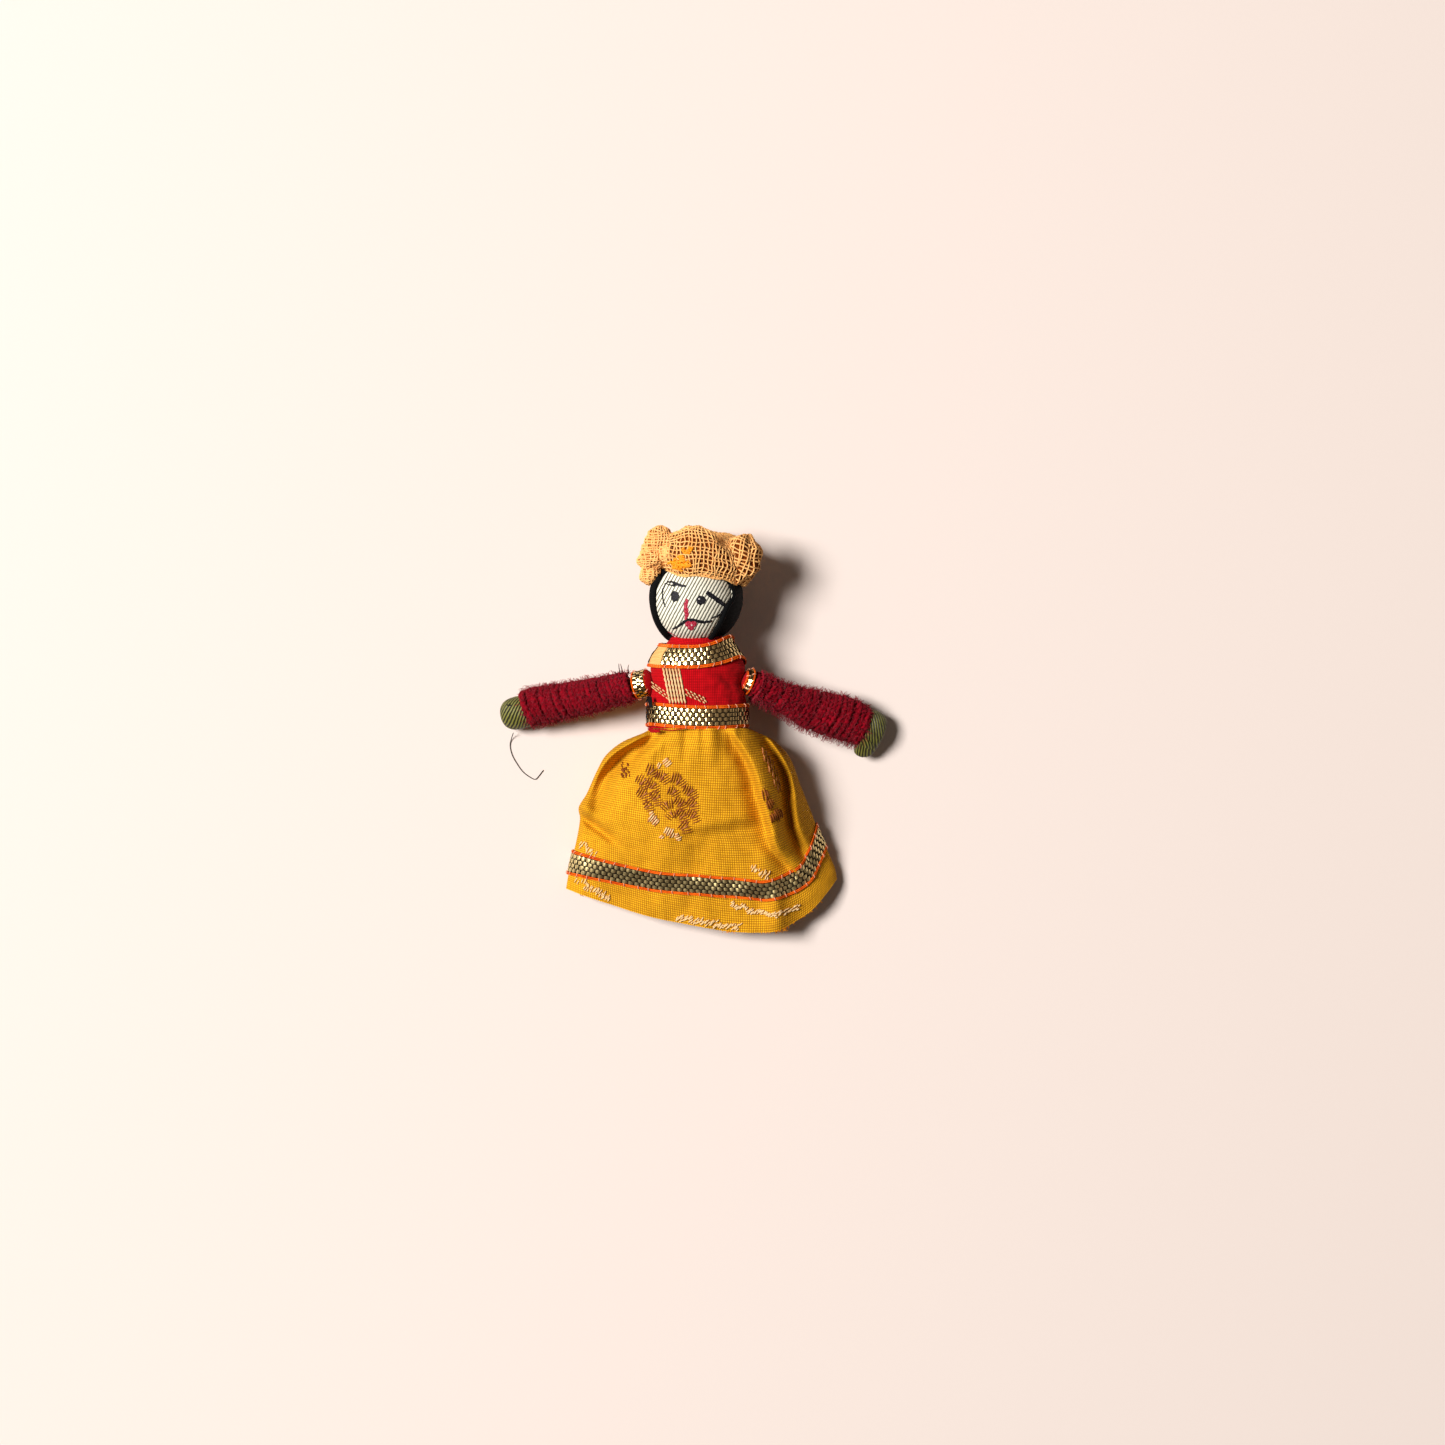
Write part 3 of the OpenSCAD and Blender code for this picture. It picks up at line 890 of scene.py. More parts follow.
@dataclass
class Trunk:
    """The padded trunk in its red bodice, with the ribbons round its neck and waist.

    Attributes:
        middle: The stick's axis, across and up.
        widths: Half the bodice's width at each height along the doll.
        depths: Half its thickness.
        squareness: How boxy its cross-section is; 2 is an oval.
        low: Lower edge of the bodice.
        high: Upper edge of the bodice.
        arm_out: A shoulder knot's distance from the middle.
        arm_y: The shoulder knots' place along the doll.
        armhole: Radius of the hollow that each arm turns in.
    """

    middle: tuple[float, float] = (0.4, AXIS_Z)
    widths: Knots = (
        (0.0, 12.0), (4.0, 12.2), (12.0, 11.9), (16.0, 11.7), (18.5, 11.0), (20.5, 9.6), (22.4, 8.3)
    )
    depths: Knots = ((0.0, 8.0), (14.0, 8.1), (17.0, 7.85), (20.0, 7.5), (22.4, 7.1))
    squareness: float = 2.05
    low: float = 0.7
    high: float = 21.6
    arm_out: float = 14.4
    arm_y: float = 11.6
    armhole: float = 4.35

    def skin(self, turn: float, y: float, above: float = 0.0) -> Vector:
        """Give a point on the bodice.

        Args:
            turn: Share of a turn round it, from the middle of the back towards the doll's +X side.
            y: Its place along the doll.
            above: How far outside the cloth it is.

        Returns:
            The point, in millimetres.
        """
        angle = math.tau * turn - math.pi / 2
        wide, deep = along(self.widths, y), along(self.depths, y)
        c, s = math.cos(angle), math.sin(angle)
        power = 2 / self.squareness
        x = math.copysign(abs(c) ** power, c) * wide
        z = math.copysign(abs(s) ** power, s) * deep
        out = Vector((
            math.copysign(abs(c) ** (2 - power), c) / wide, 0, math.copysign(abs(s) ** (2 - power), s) / deep
        )).normalized()
        return Vector((self.middle[0] + x, y, self.middle[1] + z)) + out * above

    def clear_armholes(self, point: Vector) -> Vector:
        """Move a point that is inside an armhole out to its edge."""
        for side in Side:
            knot = Vector((self.middle[0] + side.value * self.arm_out, self.arm_y, self.middle[1]))
            away = point - knot
            if away.length < self.armhole:
                away.x = -side.value * max(abs(away.x), 0.4)
                point = knot + away.normalized() * self.armhole
        return point

    def around(self, y: float) -> tuple[Knots, float]:
        """Give the table from distance round the bodice to share of a turn, and its girth.

        Args:
            y: The place along the doll.

        Returns:
            Pairs of distance and share of a turn, and the whole distance round.
        """
        count = 180
        runs = distances([self.skin(i / count, y) for i in range(count + 1)])
        return [(run, i / count) for i, run in enumerate(runs)], runs[-1]

    def build(self) -> None:
        """Build the padding, the bodice, its woven pattern, the neck and both ribbons."""
        self.build_padding()
        self.build_bodice()
        self.build_pattern()
        self.build_neck()
        self.build_ribbon("collar_band", 19.0, self.collar_line, 0.755, 6.2)
        self.build_ribbon("waist_band", 3.7, self.waist_line, 0.69, 0.0)
        self.build_loose_ends()

    def build_padding(self) -> None:
        """Build the rolled rag inside the bodice, its lower end showing the roll."""
        bm = bmesh.new()

        def place(across: float, up: float) -> Vector:
            """Close each end with a spiral groove, and follow the bodice between them."""
            share = min(up / 0.25, (1 - up) / 0.2, 1.0)
            y = 1.7 + (20.0 - 1.7) * ease(up, 0.2, 0.85)
            point = self.skin(across, y, -1.0)
            centre = Vector((self.middle[0], y, self.middle[1]))
            groove = 0.35 * math.sin(math.tau * (3 * share + across)) * (share < 1) * ease(share, 0, 0.2)
            point = centre + (point - centre) * share + Vector((0, groove, 0))
            return self.clear_armholes(point)

        bend_grid(bm, (72, 60), place, (60.0, 34.0))
        roll = make_piece(bm, "rolled_padding", "trunk", RAG, ("torso_roll",))

    def build_bodice(self) -> None:
        """Build the red cloth, with the soft creases that its stitches pull in."""
        bm = bmesh.new()

        def place(across: float, up: float) -> Vector:
            """Follow the trunk, creased a little towards the shoulders."""
            y = self.low + (self.high - self.low) * up
            base = self.skin(across, y)
            crease = 0.3 * wrinkle(base.x + base.y * 0.6, base.y - base.x * 0.3, 3.4, 1.0)
            crease += 0.22 * wrinkle(base.x, base.y, 1.6, 4.0)
            pull = 0.7 * bump(base.y + 0.28 * (base.x - 12.5), 11.5, 1.3, 1.8) * ease(base.x, 3.0, 9.0)
            return self.clear_armholes(self.skin(across, y, crease - pull * (base.z > self.middle[1])))

        girth = self.around(10.0)[1]
        bend_grid(bm, (200, 62), place, (girth, self.high - self.low))
        cloth = make_piece(bm, "bodice_cloth", "trunk", RED_POPLIN, ("bodice",), wall=0.45)

    def front(self, x: float, y: float, above: float) -> Vector:
        """Give the point of the bodice's front over a place across and along it.

        Args:
            x: The place across the doll.
            y: The place along the doll.
            above: Height over the cloth.

        Returns:
            The point, in millimetres.
        """
        share = min(max((x - self.middle[0]) / along(self.widths, y), -1.0), 1.0)
        angle = math.acos(math.copysign(abs(share) ** (self.squareness / 2), share))
        return self.skin(0.25 + angle / math.tau, y, above)

    def build_pattern(self) -> None:
        """Build the cream brocade threads: one slanting bar and a branch on each side."""
        bm = bmesh.new()
        for number in range(6):
            top = Vector((-8.0 + 0.76 * number, 16.0, 0))
            foot = Vector((-6.2 + 0.74 * number, 6.6, 0))
            points = []
            for i in range(22):
                at = top.lerp(foot, i / 21)
                points.append(self.front(at.x, at.y, 0.3 + 0.12 * math.sin(i * 1.9 + number)))
            add_thread(bm, points, 0.31, sides=6, plies=2, lay=1.3)
        chance = random.Random(5)
        for start, stop in (((-2.7, 9.7), (2.5, 7.4)), ((-11.0, 11.7), (-6.5, 8.4))):
            for number in range(5):
                for row in (-0.8, 0.0, 0.8):
                    share = (number + 0.5 + 0.45 * (row == 0)) / 5
                    x = start[0] + (stop[0] - start[0]) * share + chance.uniform(-0.08, 0.08)
                    y = start[1] + (stop[1] - start[1]) * share + row * 0.75
                    reach = chance.uniform(0.4, 0.6)
                    points = []
                    for i in range(5):
                        off = reach * (i / 2 - 1)
                        points.append(
                            self.front(x + 0.8 * off, y - 0.75 * off, 0.2 + 0.16 * math.sin(math.pi * i / 4))
                        )
                    add_thread(bm, points, 0.17)
        make_piece(bm, "bodice_brocade", "trunk", CREAM_FLOAT)

    def build_neck(self) -> None:
        """Build the red cloth that is wound round the neck."""
        bm = bmesh.new()

        def place(across: float, up: float) -> Vector:
            """Wind a soft ring that widens into the collar."""
            angle = math.tau * across
            y = 20.6 + 3.3 * up + 0.25 * math.sin(3 * angle)
            wide = 7.6 - 1.5 * up + 0.35 * math.sin(math.pi * up) + 0.22 * wrinkle(
                9 * across, up * 5, 1.0, 8.0
            )
            return Vector((0.1 + wide * math.cos(angle), y, self.middle[1] + 0.86 * wide * math.sin(angle)))

        bend_grid(bm, (96, 14), place, (42.0, 3.4))
        make_piece(bm, "neck_cloth", "trunk", RED_POPLIN, ("neck_wrap",), wall=0.5)

    def collar_line(self, x: float, front: float) -> float:
        """Give the collar's middle along the doll, lower in front and higher at the +X side."""
        return 19.1 + front * (
            -0.75 + 0.021 * (x + 1.5) ** 2 * (x > -1.5) + 0.006 * (x + 1.5) ** 2 * (x <= -1.5)
        )

    def waist_line(self, x: float, front: float) -> float:
        """Give the waist ribbon's middle along the doll, a little higher at both sides."""
        return 3.7 + front * (-0.35 + 0.0055 * (x - 2.5) ** 2)

    def build_ribbon(
        self, name: str, y: float, line: Callable[[float, float], float], join: float, start: float
    ) -> None:
        """Wind one gilt ribbon round the trunk.

        Args:
            name: What its pieces are called, and the design solid that it stands for.
            y: Its place along the doll.
            line: Gives the ribbon's middle for a place across the doll and how far in front it is.
            join: Share of a turn where its end laps its start.
            start: Length of plain tape at its end, pale also as a painted highlight.
        """
        table, girth = self.around(y)

        def lay(run: float, off: float, height: float) -> Vector:
            """Put a point on the ribbon, its join at the doll's -X side."""
            turn = along(table, (girth * (join + 1) - run) % girth) % 1.0
            base = self.skin(turn, y)
            front = ease(base.z, self.middle[1] - 4, self.middle[1] + 5)
            lap = 0.25 * ease(run, girth - 2.0, girth + 0.5)
            return self.skin(turn, line(base.x, front) + off, 0.42 + height + lap)

        GiltRibbon(name, "trunk", lay, girth + 0.6, (name,), start=start).build()

    def build_loose_ends(self) -> None:
        """Build the black thread ends at the side and the red tuft at the waist."""
        bm = bmesh.new()
        side = [
            (-11.9, 8.2, 20.0), (-12.2, 7.4, 20.6), (-11.9, 6.4, 20.9), (-12.2, 5.4, 20.6),
            (-11.7, 4.6, 20.9), (-12.3, 3.6, 20.8), (-11.9, 2.6, 20.9), (-12.4, 1.7, 20.7)
        ]
        add_thread(bm, smooth_path([Vector(p) for p in side], 40), 0.16, taper=0.4)
        for lean in (0.0, 0.35, 0.7):
            knot = [(-11.9 + lean, 8.6, 19.4), (-11.7 + lean, 7.2, 20.5), (-11.2 + lean * 0.6, 5.6, 21.0)]
            add_thread(bm, smooth_path([Vector(p) for p in knot], 10), 0.3, taper=0.5)
        make_piece(bm, "black_thread_ends", "trunk", BLACK_THREAD)
        bm = bmesh.new()
        chance = random.Random(11)
        for _ in range(9):
            x = -11.3 + chance.uniform(-0.7, 0.5)
            points = [
                Vector((x, 0.9 + chance.uniform(-0.4, 0.4), 20.6)),
                Vector((x + 0.9, 0.2 + chance.uniform(-0.5, 0.3), 22.2)),
                Vector((x + 2.2 + chance.uniform(0, 1.2), -0.3 + chance.uniform(-0.5, 0.4), 22.3)),
            ]
            add_thread(bm, smooth_path(points, 9), 0.26, plies=2, lay=0.8, taper=0.5)
        points = [
            Vector((-10.5, 0.3, 22.0)), Vector((-8.2, 0.4, 22.7)), Vector((-6.0, 0.2, 22.9)),
            Vector((-2.6, 0.6, 23.0))
        ]
        add_thread(bm, smooth_path(points, 26), 0.28, plies=2, lay=0.9, taper=0.6)
        make_piece(bm, "red_gather_tuft", "trunk", RED_THREAD)


# ---- Head ----


@dataclass
class Head:
    """The cloth-covered head: black hair cloth all round, and a cream face drawn on in ink.

    Attributes:
        middle: Its centre.
        radius: Radius of the hair cloth.
        face_middle: Where the face is measured from, across and along the doll.
        outline: The face's edge, as points across and along the doll.
    """

    middle: tuple[float, float, float] = (0.0, 33.25, AXIS_Z)
    radius: float = 11.72
    face_middle: tuple[float, float] = (-0.8, 32.0)
    outline: Knots = (
        (-7.6, 38.6), (-9.5, 35.6), (-9.85, 32.4), (-9.1, 28.2), (-6.9, 24.85), (-4.0, 22.6), (-0.9, 22.9),
        (3.5, 23.75), (4.9, 26.0), (7.15, 30.4), (8.7, 33.3), (8.2, 35.6), (4.5, 40.2), (-3.0, 41.2),
    )

    def ball(self, x: float, y: float, above: float = 0.0) -> Vector:
        """Give the point of the head's front over a place across and along it."""
        off = Vector((x - self.middle[0], y - self.middle[1]))
        size = self.radius + above
        reach = min(off.length, size * 0.995)
        off = off.normalized() * reach if reach else off
        rise = math.sqrt(size * size - reach * reach)
        return Vector((self.middle[0] + off.x, self.middle[1] + off.y, self.middle[2] + rise))

    def outwards(self, point: Vector) -> Vector:
        """Give the direction away from the head's centre."""
        return (point - Vector(self.middle)).normalized()

    def edge(self, angle: float, grow: float = 0.0) -> tuple[float, float]:
        """Give the face's edge in one direction.

        Args:
            angle: The direction from the face's middle.
            grow: How far outside the edge to go.

        Returns:
            The place across and along the doll.
        """
        knots = []
        for x, y in self.outline:
            dx, dy = x - self.face_middle[0], y - self.face_middle[1]
            knots.append((math.atan2(dy, dx) % math.tau, math.hypot(dx, dy)))
        knots.sort()
        ring = [(knots[-1][0] - math.tau, knots[-1][1]), *knots, (knots[0][0] + math.tau, knots[0][1])]
        reach = along(ring, angle % math.tau) + grow
        return self.face_middle[0] + reach * math.cos(angle), self.face_middle[1] + reach * math.sin(angle)

    def build(self) -> None:
        """Build the hair cloth, its rolled edge, the face and its drawing."""
        self.build_hair()
        self.build_rolled_edge()
        self.build_face()
        self.build_drawing()

    def build_hair(self) -> None:
        """Build the black cloth, gathered a little at the neck and crown."""
        bm = bmesh.new()

        def place(across: float, up: float) -> Vector:
            """Put one point on the ball, with fine pleats towards both poles."""
            angle, tilt = math.tau * across, math.pi * (up - 0.5)
            pleat = 0.16 * math.sin(17 * angle) * (abs(2 * up - 1) ** 6)
            size = self.radius + pleat + 0.12 * wrinkle(
                6 * math.cos(angle), 6 * math.sin(angle) + 9 * up, 2.0
            )
            return Vector((
                self.middle[0] + size * math.cos(tilt) * math.cos(angle),
                self.middle[1] + size * math.sin(tilt),
                self.middle[2] + size * math.cos(tilt) * math.sin(angle),
            ))

        bend_grid(bm, (120, 60), place, (math.tau * self.radius, math.pi * self.radius))
        make_piece(bm, "hair_cloth_cover", "trunk", HAIR_POPLIN, ("hair_cloth",))

    def build_rolled_edge(self) -> None:
        """Build the rolled black hem that frames the face, thickest on the -X side."""
        bm = bmesh.new()
        for start, stop, size, out in ((2.42, 4.55, 1.12, 0.62), (5.1, 6.75, 0.75, 0.45)):
            points = []
            for i in range(46):
                angle = start + (stop - start) * i / 45
                x, y = self.edge(angle, out + 0.1 * math.sin(5 * angle))
                points.append(self.ball(x, y, 0.02))
            add_thread(bm, points, size, sides=14)
        make_piece(bm, "hair_cloth_rolled_edge", "trunk", HAIR_POPLIN)

    def build_face(self) -> None:
        """Build the cream face cloth, its edge tucked under the black one."""
        bm = bmesh.new()

        def spot(across: float, up: float) -> tuple[float, float]:
            """Give a place on the face."""
            x, y = self.edge(math.tau * across)
            share = up * 1.02
            return (
                self.face_middle[0] + (x - self.face_middle[0]) * share,
                self.face_middle[1] + (y - self.face_middle[1]) * share,
            )

        def place(across: float, up: float) -> Vector:
            """Lift the cloth a little off the ball, down to it at its edge."""
            x, y = spot(across, up)
            return self.ball(x, y, 0.34 * (1 - up**7) - 0.05 + 0.05 * wrinkle(x, y, 3.0))

        bend_grid(bm, (150, 40), place, spot)
        make_piece(bm, "face_cloth_cover", "trunk", FACE_TWILL, ("face_cloth",))
        bm = bmesh.new()
        points = [self.ball(x, y, 0.25) for x, y in ((8.15, 30.9), (8.75, 32.2), (9.0, 33.6), (8.75, 34.9))]
        path = smooth_path(points, 14)
        add_strip(
            bm, path, [self.outwards(p) for p in path], [0.55 - abs(i - 7) * 0.05 for i in range(14)], 0.12
        )
        make_piece(bm, "face_cloth_fold", "trunk", FACE_TWILL)

    def stroke(
        self, bm: bmesh.types.BMesh, path: Knots, widths: Sequence[float], above: float = 0.36,
        rough: float = 0.12
    ) -> None:
        """Draw one pen stroke on the face.

        Args:
            bm: The ink's mesh.
            path: Places across and along the doll.
            widths: Its width at equal steps.
            above: Its height over the hair cloth's ball.
            rough: How far its edge wanders.
        """
        count = 9 * len(path)
        line = smooth_path([Vector((x, y, 0)) for x, y in path], count)
        sizes = [(i / (len(widths) - 1), w) for i, w in enumerate(widths)]
        points, spans = [], []
        for i, at in enumerate(line):
            shake = rough * wrinkle(at.x, at.y, 0.45, 3.0)
            points.append(self.ball(at.x + shake, at.y - shake, above))
            spans.append(along(sizes, i / (count - 1)) * (1 + 0.35 * wrinkle(at.y, at.x, 0.4, 6.0)))
        add_strip(bm, points, [self.outwards(p) for p in points], spans, 0.05)

    def dot(
        self, bm: bmesh.types.BMesh, x: float, y: float, size: tuple[float, float], above: float = 0.38
    ) -> None:
        """Draw one filled spot with a wandering edge.

        Args:
            bm: The ink's mesh.
            x: Its place across the doll.
            y: Its place along the doll.
            size: Half its width and half its height.
            above: Its height over the hair cloth's ball.
        """

        def place(across: float, up: float) -> Vector:
            """Put one point of the spot on the ball."""
            angle = math.tau * across
            reach = up * (1 + 0.05 * math.sin(3 * angle + x) + 0.07 * math.sin(7 * angle + y))
            return self.ball(
                x + size[0] * reach * math.cos(angle), y + size[1] * reach * math.sin(angle),
                above - 0.06 * (up > 0.9),
            )

        bend_grid(bm, (28, 6), place, (2 * size[0], 2 * size[1]))

    def build_drawing(self) -> None:
        """Draw the brows, eyes, curls and moustache in black, the nose and mouth in red, and painted white
        highlights on an eye and the lips.
        """
        bm = bmesh.new()
        self.dot(bm, -5.15, 33.2, (1.05, 1.35))
        self.dot(bm, 1.3, 32.2, (1.2, 1.15))
        for path, widths, rough in (
            (
                ((-7.7, 36.2), (-6.6, 36.9), (-5.2, 36.6), (-4.0, 35.9), (-2.3, 35.8)), (0.3, 0.5, 0.6, 0.5),
                0.3
            ),
            (((-7.2, 36.3), (-5.6, 35.9), (-4.2, 36.2), (-2.9, 35.4)), (0.24, 0.36, 0.36, 0.24), 0.5),
            (((-7.5, 36.3), (-8.2, 34.9), (-8.15, 32.6), (-7.5, 30.5)), (0.42, 0.36, 0.44, 0.3), 0.2),
            (((2.6, 34.3), (4.0, 33.2), (5.8, 31.9), (7.3, 30.8)), (1.1, 1.05, 0.9, 0.6), 0.2),
            (((3.4, 34.2), (5.0, 33.0), (6.8, 31.6), (7.6, 30.9)), (0.3, 0.4, 0.5, 0.3), 0.4),
            (((7.3, 31.2), (7.0, 29.8), (5.6, 28.5), (3.6, 27.8)), (0.5, 0.62, 0.46, 0.3), 0.3),
            (
                ((-6.0, 25.3), (-4.2, 26.0), (-2.3, 27.2), (-0.4, 27.35), (1.3, 26.9), (4.1, 27.1)),
                (0.4, 0.62, 0.8, 0.85, 0.78, 0.6), 0.3
            )
        ):
            self.stroke(bm, path, widths, rough=rough)
        make_piece(bm, "face_black_drawing", "trunk", BLACK_INK)
        bm = bmesh.new()
        nose = ((-1.95, 32.4), (-2.35, 31.3), (-2.5, 30.2), (-2.25, 28.7), (-2.4, 27.3))
        self.stroke(bm, nose, (0.6, 0.85, 0.95, 0.8, 0.6), 0.37, 0.35)
        self.dot(bm, -1.85, 26.4, (0.8, 0.8), 0.41)
        self.dot(bm, -0.55, 26.45, (0.78, 0.75), 0.41)
        self.dot(bm, -1.2, 25.65, (0.8, 0.8), 0.42)
        self.stroke(bm, ((-6.9, 24.6), (-5.6, 23.9), (-4.0, 22.95)), (0.26, 0.34, 0.26), 0.2)
        make_piece(bm, "face_red_drawing", "trunk", RED_INK)
        # White dots: painted highlights, the lamp's glints on the +X eye and on the lips.
        bm = bmesh.new()
        self.dot(bm, 0.85, 32.5, (0.2, 0.2), 0.47)
        self.dot(bm, -1.0, 26.1, (0.2, 0.2), 0.5)
        make_piece(bm, "face_white_dots", "trunk", PAINTED_GLINT)


# ---- Turban ----


@dataclass(frozen=True)
class Lump:
    """One bunched knot of net on the turban.

    Attributes:
        middle: Its centre.
        size: Half its width, length and height.
        loops: How many threads cross it each way.
        lean: Angle that its ends are turned from the doll's length, in degrees.
    """

    middle: tuple[float, float, float]
    size: tuple[float, float, float]
    loops: tuple[int, int] = (15, 22)
    lean: float = 0.0


@dataclass
class Turban:
    """A roll of peach net wound in a ring on the head, bunched at one side over yellow floss.

    Attributes:
        ring: Radius of the ring at each angle, in degrees from +X towards the front.
        middle_y: The roll's middle along the doll at each angle.
        half_y: Half its thickness along the doll.
        half_out: Half its thickness outwards.
        axis_z: Height of the stick's axis.
        head: The head that it sits on.
        thread: Radius of a net thread.
        lumps: The bunched knots.
        knob: The roll's big open-meshed end at the +X side.
    """

    head: Head
    ring: Knots = (
        (-90, 8.1), (-40, 8.3), (0, 8.6), (30, 8.2), (60, 8.2), (90, 8.2), (150, 7.6), (200, 7.6), (270, 8.1)
    )
    middle_y: Knots = (
        (-90, 44.8), (-40, 44.0), (0, 42.4), (32, 41.6), (60, 43.0), (90, 43.9), (128, 44.0), (180, 43.6),
        (270, 44.8)
    )
    half_y: Knots = (
        (-90, 5.4), (-40, 5.6), (0, 5.2), (32, 5.9), (60, 6.2), (90, 6.6), (116, 6.1), (140, 4.4), (200, 4.6),
        (270, 5.4)
    )
    half_out: Knots = (
        (-90, 5.6), (-40, 5.6), (0, 5.6), (30, 5.3), (60, 5.4), (90, 5.6), (140, 4.8), (200, 5.0), (270, 5.6),
    )
    axis_z: float = AXIS_Z
    thread: float = 0.2
    lumps: tuple[Lump, ...] = (
        Lump((-8.9, 47.0, 19.2), (3.5, 3.4, 4.4)),
        Lump((-11.0, 42.7, 18.6), (3.2, 2.7, 4.2)),
        Lump((-11.2, 39.1, 17.6), (2.5, 2.8, 4.0)),
        Lump((-6.9, 44.0, 20.6), (2.6, 2.8, 4.2)),
        Lump((-9.4, 44.0, 10.0), (4.4, 4.0, 5.0)),
    )
    knob: Lump = Lump((11.0, 42.6, 17.4), (5.1, 6.1, 6.6), (17, 25), -14.0)

    def skin(self, around: float, lean: float, above: float = 0.0) -> Vector:
        """Give a point on the roll.

        Args:
            around: Angle round the stick in degrees, from +X towards the front.
            lean: Angle round the roll in degrees, from outwards towards the top.
            above: How far outside the roll it is.

        Returns:
            The point, in millimetres, kept off the head and the table.
        """
        place = (around + 90) % 360 - 90
        a, b = math.radians(around), math.radians(lean)
        out = Vector((math.cos(a), 0, math.sin(a)))
        dent = 1.9 * bump(place, 53, 9, 10) * max(math.sin(b + 0.2), 0) ** 1.5
        dent += 0.7 * bump(place, 118, 10, 10) * max(math.sin(b), 0)
        rough = 0.55 * noise.noise(Vector((place / 15, 1.4 * math.cos(b), 1.4 * math.sin(b))))
        wide = along(self.half_out, place) + above + rough - dent
        tall = along(self.half_y, place) + above + rough - dent
        centre = out * along(self.ring, place) + Vector((0, along(self.middle_y, place), self.axis_z))
        return self.keep_off(centre + out * wide * math.cos(b) + Vector((0, tall * math.sin(b), 0)), above)

    def keep_off(self, point: Vector, above: float) -> Vector:
        """Push a point out of the head and up off the table."""
        middle = Vector(self.head.middle)
        away = point - middle
        least = self.head.radius + 0.45 + above
        if away.length < least:
            point = middle + away.normalized() * least
        point.z = max(point.z, 0.25)
        return point

    def front(self, x: float, y: float, above: float) -> Vector:
        """Give the point of the roll's front over a place across and along the doll."""
        around, lean = 90.0, 0.0
        for _ in range(5):
            lean = math.asin(
                min(max((y - along(self.middle_y, around)) / along(self.half_y, around), -0.98), 0.98)
            )
            reach = along(self.ring, around) + along(self.half_out, around) * math.cos(lean)
            around = math.degrees(math.acos(min(max(x / reach, -0.98), 0.98)))
        return self.skin(around, math.degrees(lean), above)

    def build(self) -> None:
        """Build the cloth under the net, the net, the bunched knots, the floss and the crown."""
        self.build_under(
            "turban_brown_layer", -62, 122, TURBAN_BROWN, ("turban_front_roll", "turban_right_roll")
        )
        self.build_under("turban_peach_layer", 118, 302, TURBAN_PEACH, ("turban_back_roll",))
        self.build_net()
        self.build_lumps()
        self.build_knob()
        self.build_floss()
        self.build_crown()

    def build_under(self, name: str, start: float, stop: float, finish: Finish, nodes: Sequence[str]) -> None:
        """Build part of the rolled cloth that fills the net.

        Args:
            name: The piece's name.
            start: Angle where it starts.
            stop: Angle where it stops.
            finish: What it is made of.
            nodes: The design solids that it stands for.
        """
        bm = bmesh.new()

        def place(across: float, up: float) -> Vector:
            """Put one point on the roll, drawn in to close both ends."""
            end = min(up, 1 - up) / 0.04
            around = start + (stop - start) * up
            point = self.skin(around, 360 * across, -0.12)
            if end < 1:
                a = math.radians(around)
                reach = along(self.ring, (around + 90) % 360 - 90)
                centre = Vector((
                    reach * math.cos(a), along(self.middle_y, (around + 90) % 360 - 90),
                    self.axis_z + reach * math.sin(a)
                ))
                point = centre + (point - centre) * max(end, 0) ** 0.5
                point = self.keep_off(point, -0.12) if end > 0 else point
            return point

        bend_grid(bm, (72, 96), place, (37.0, 42.0))
        make_piece(bm, name, "trunk", finish, nodes)

    def build_net(self) -> None:
        """Build the net: hoops round the roll, and long threads that pass over and under them."""
        bm = bmesh.new()
        hoops, rows = 84, 37

        def crossing(hoop: int, row: int, over: int) -> Vector:
            """Give where one hoop crosses one long thread, on its upper or lower side."""
            around, lean = 360 * hoop / hoops, 180 + 360 * row / rows
            place = (around + 90) % 360 - 90
            slant = 11 * bump(place, 18, 34, 26) * math.sin(math.radians(lean))
            tilt = math.radians(lean)
            ring = Vector((hoop / 3.0, 2.6 * math.cos(tilt), 2.6 * math.sin(tilt)))
            shake = 3.4 * noise.noise(ring) + 2.0 * noise.noise(ring * 2.7)
            drift = 5.5 * noise.noise(ring + Vector((40.0, 0, 0))) + 3.0 * noise.noise(ring * 2.3)
            lift = 0.1 + (0.13 if (hoop + row) % 2 == over else -0.07)
            return self.skin(around + slant + shake, lean + drift, lift)

        for hoop in range(hoops):
            if 132 < 360 * hoop / hoops < 205:
                continue
            points = [crossing(hoop, row, 0) for row in range(rows + 1)]
            add_thread(bm, points, self.thread)
        for row in range(rows):
            points = [crossing(hoop, row, 1) for hoop in range(-34, 33)]
            add_thread(bm, points, self.thread * 0.9)
        make_piece(bm, "turban_net", "trunk", NET)

    def build_lumps(self) -> None:
        """Build the bunched knots, each a soft ball wound in crossing net threads."""
        bm = bmesh.new()
        for number, lump in enumerate(self.lumps):
            bend_grid(bm, (40, 24), self.lump_place(lump, number, -0.1), (20.0, 10.0))
        make_piece(bm, "turban_bunch_filling", "trunk", TURBAN_PEACH, ("turban_left_bunch",))
        bm = bmesh.new()
        chance = random.Random(21)
        for number, lump in enumerate(self.lumps):
            self.wind_net(bm, lump, number, chance)
        make_piece(bm, "turban_bunch_net", "trunk", NET)

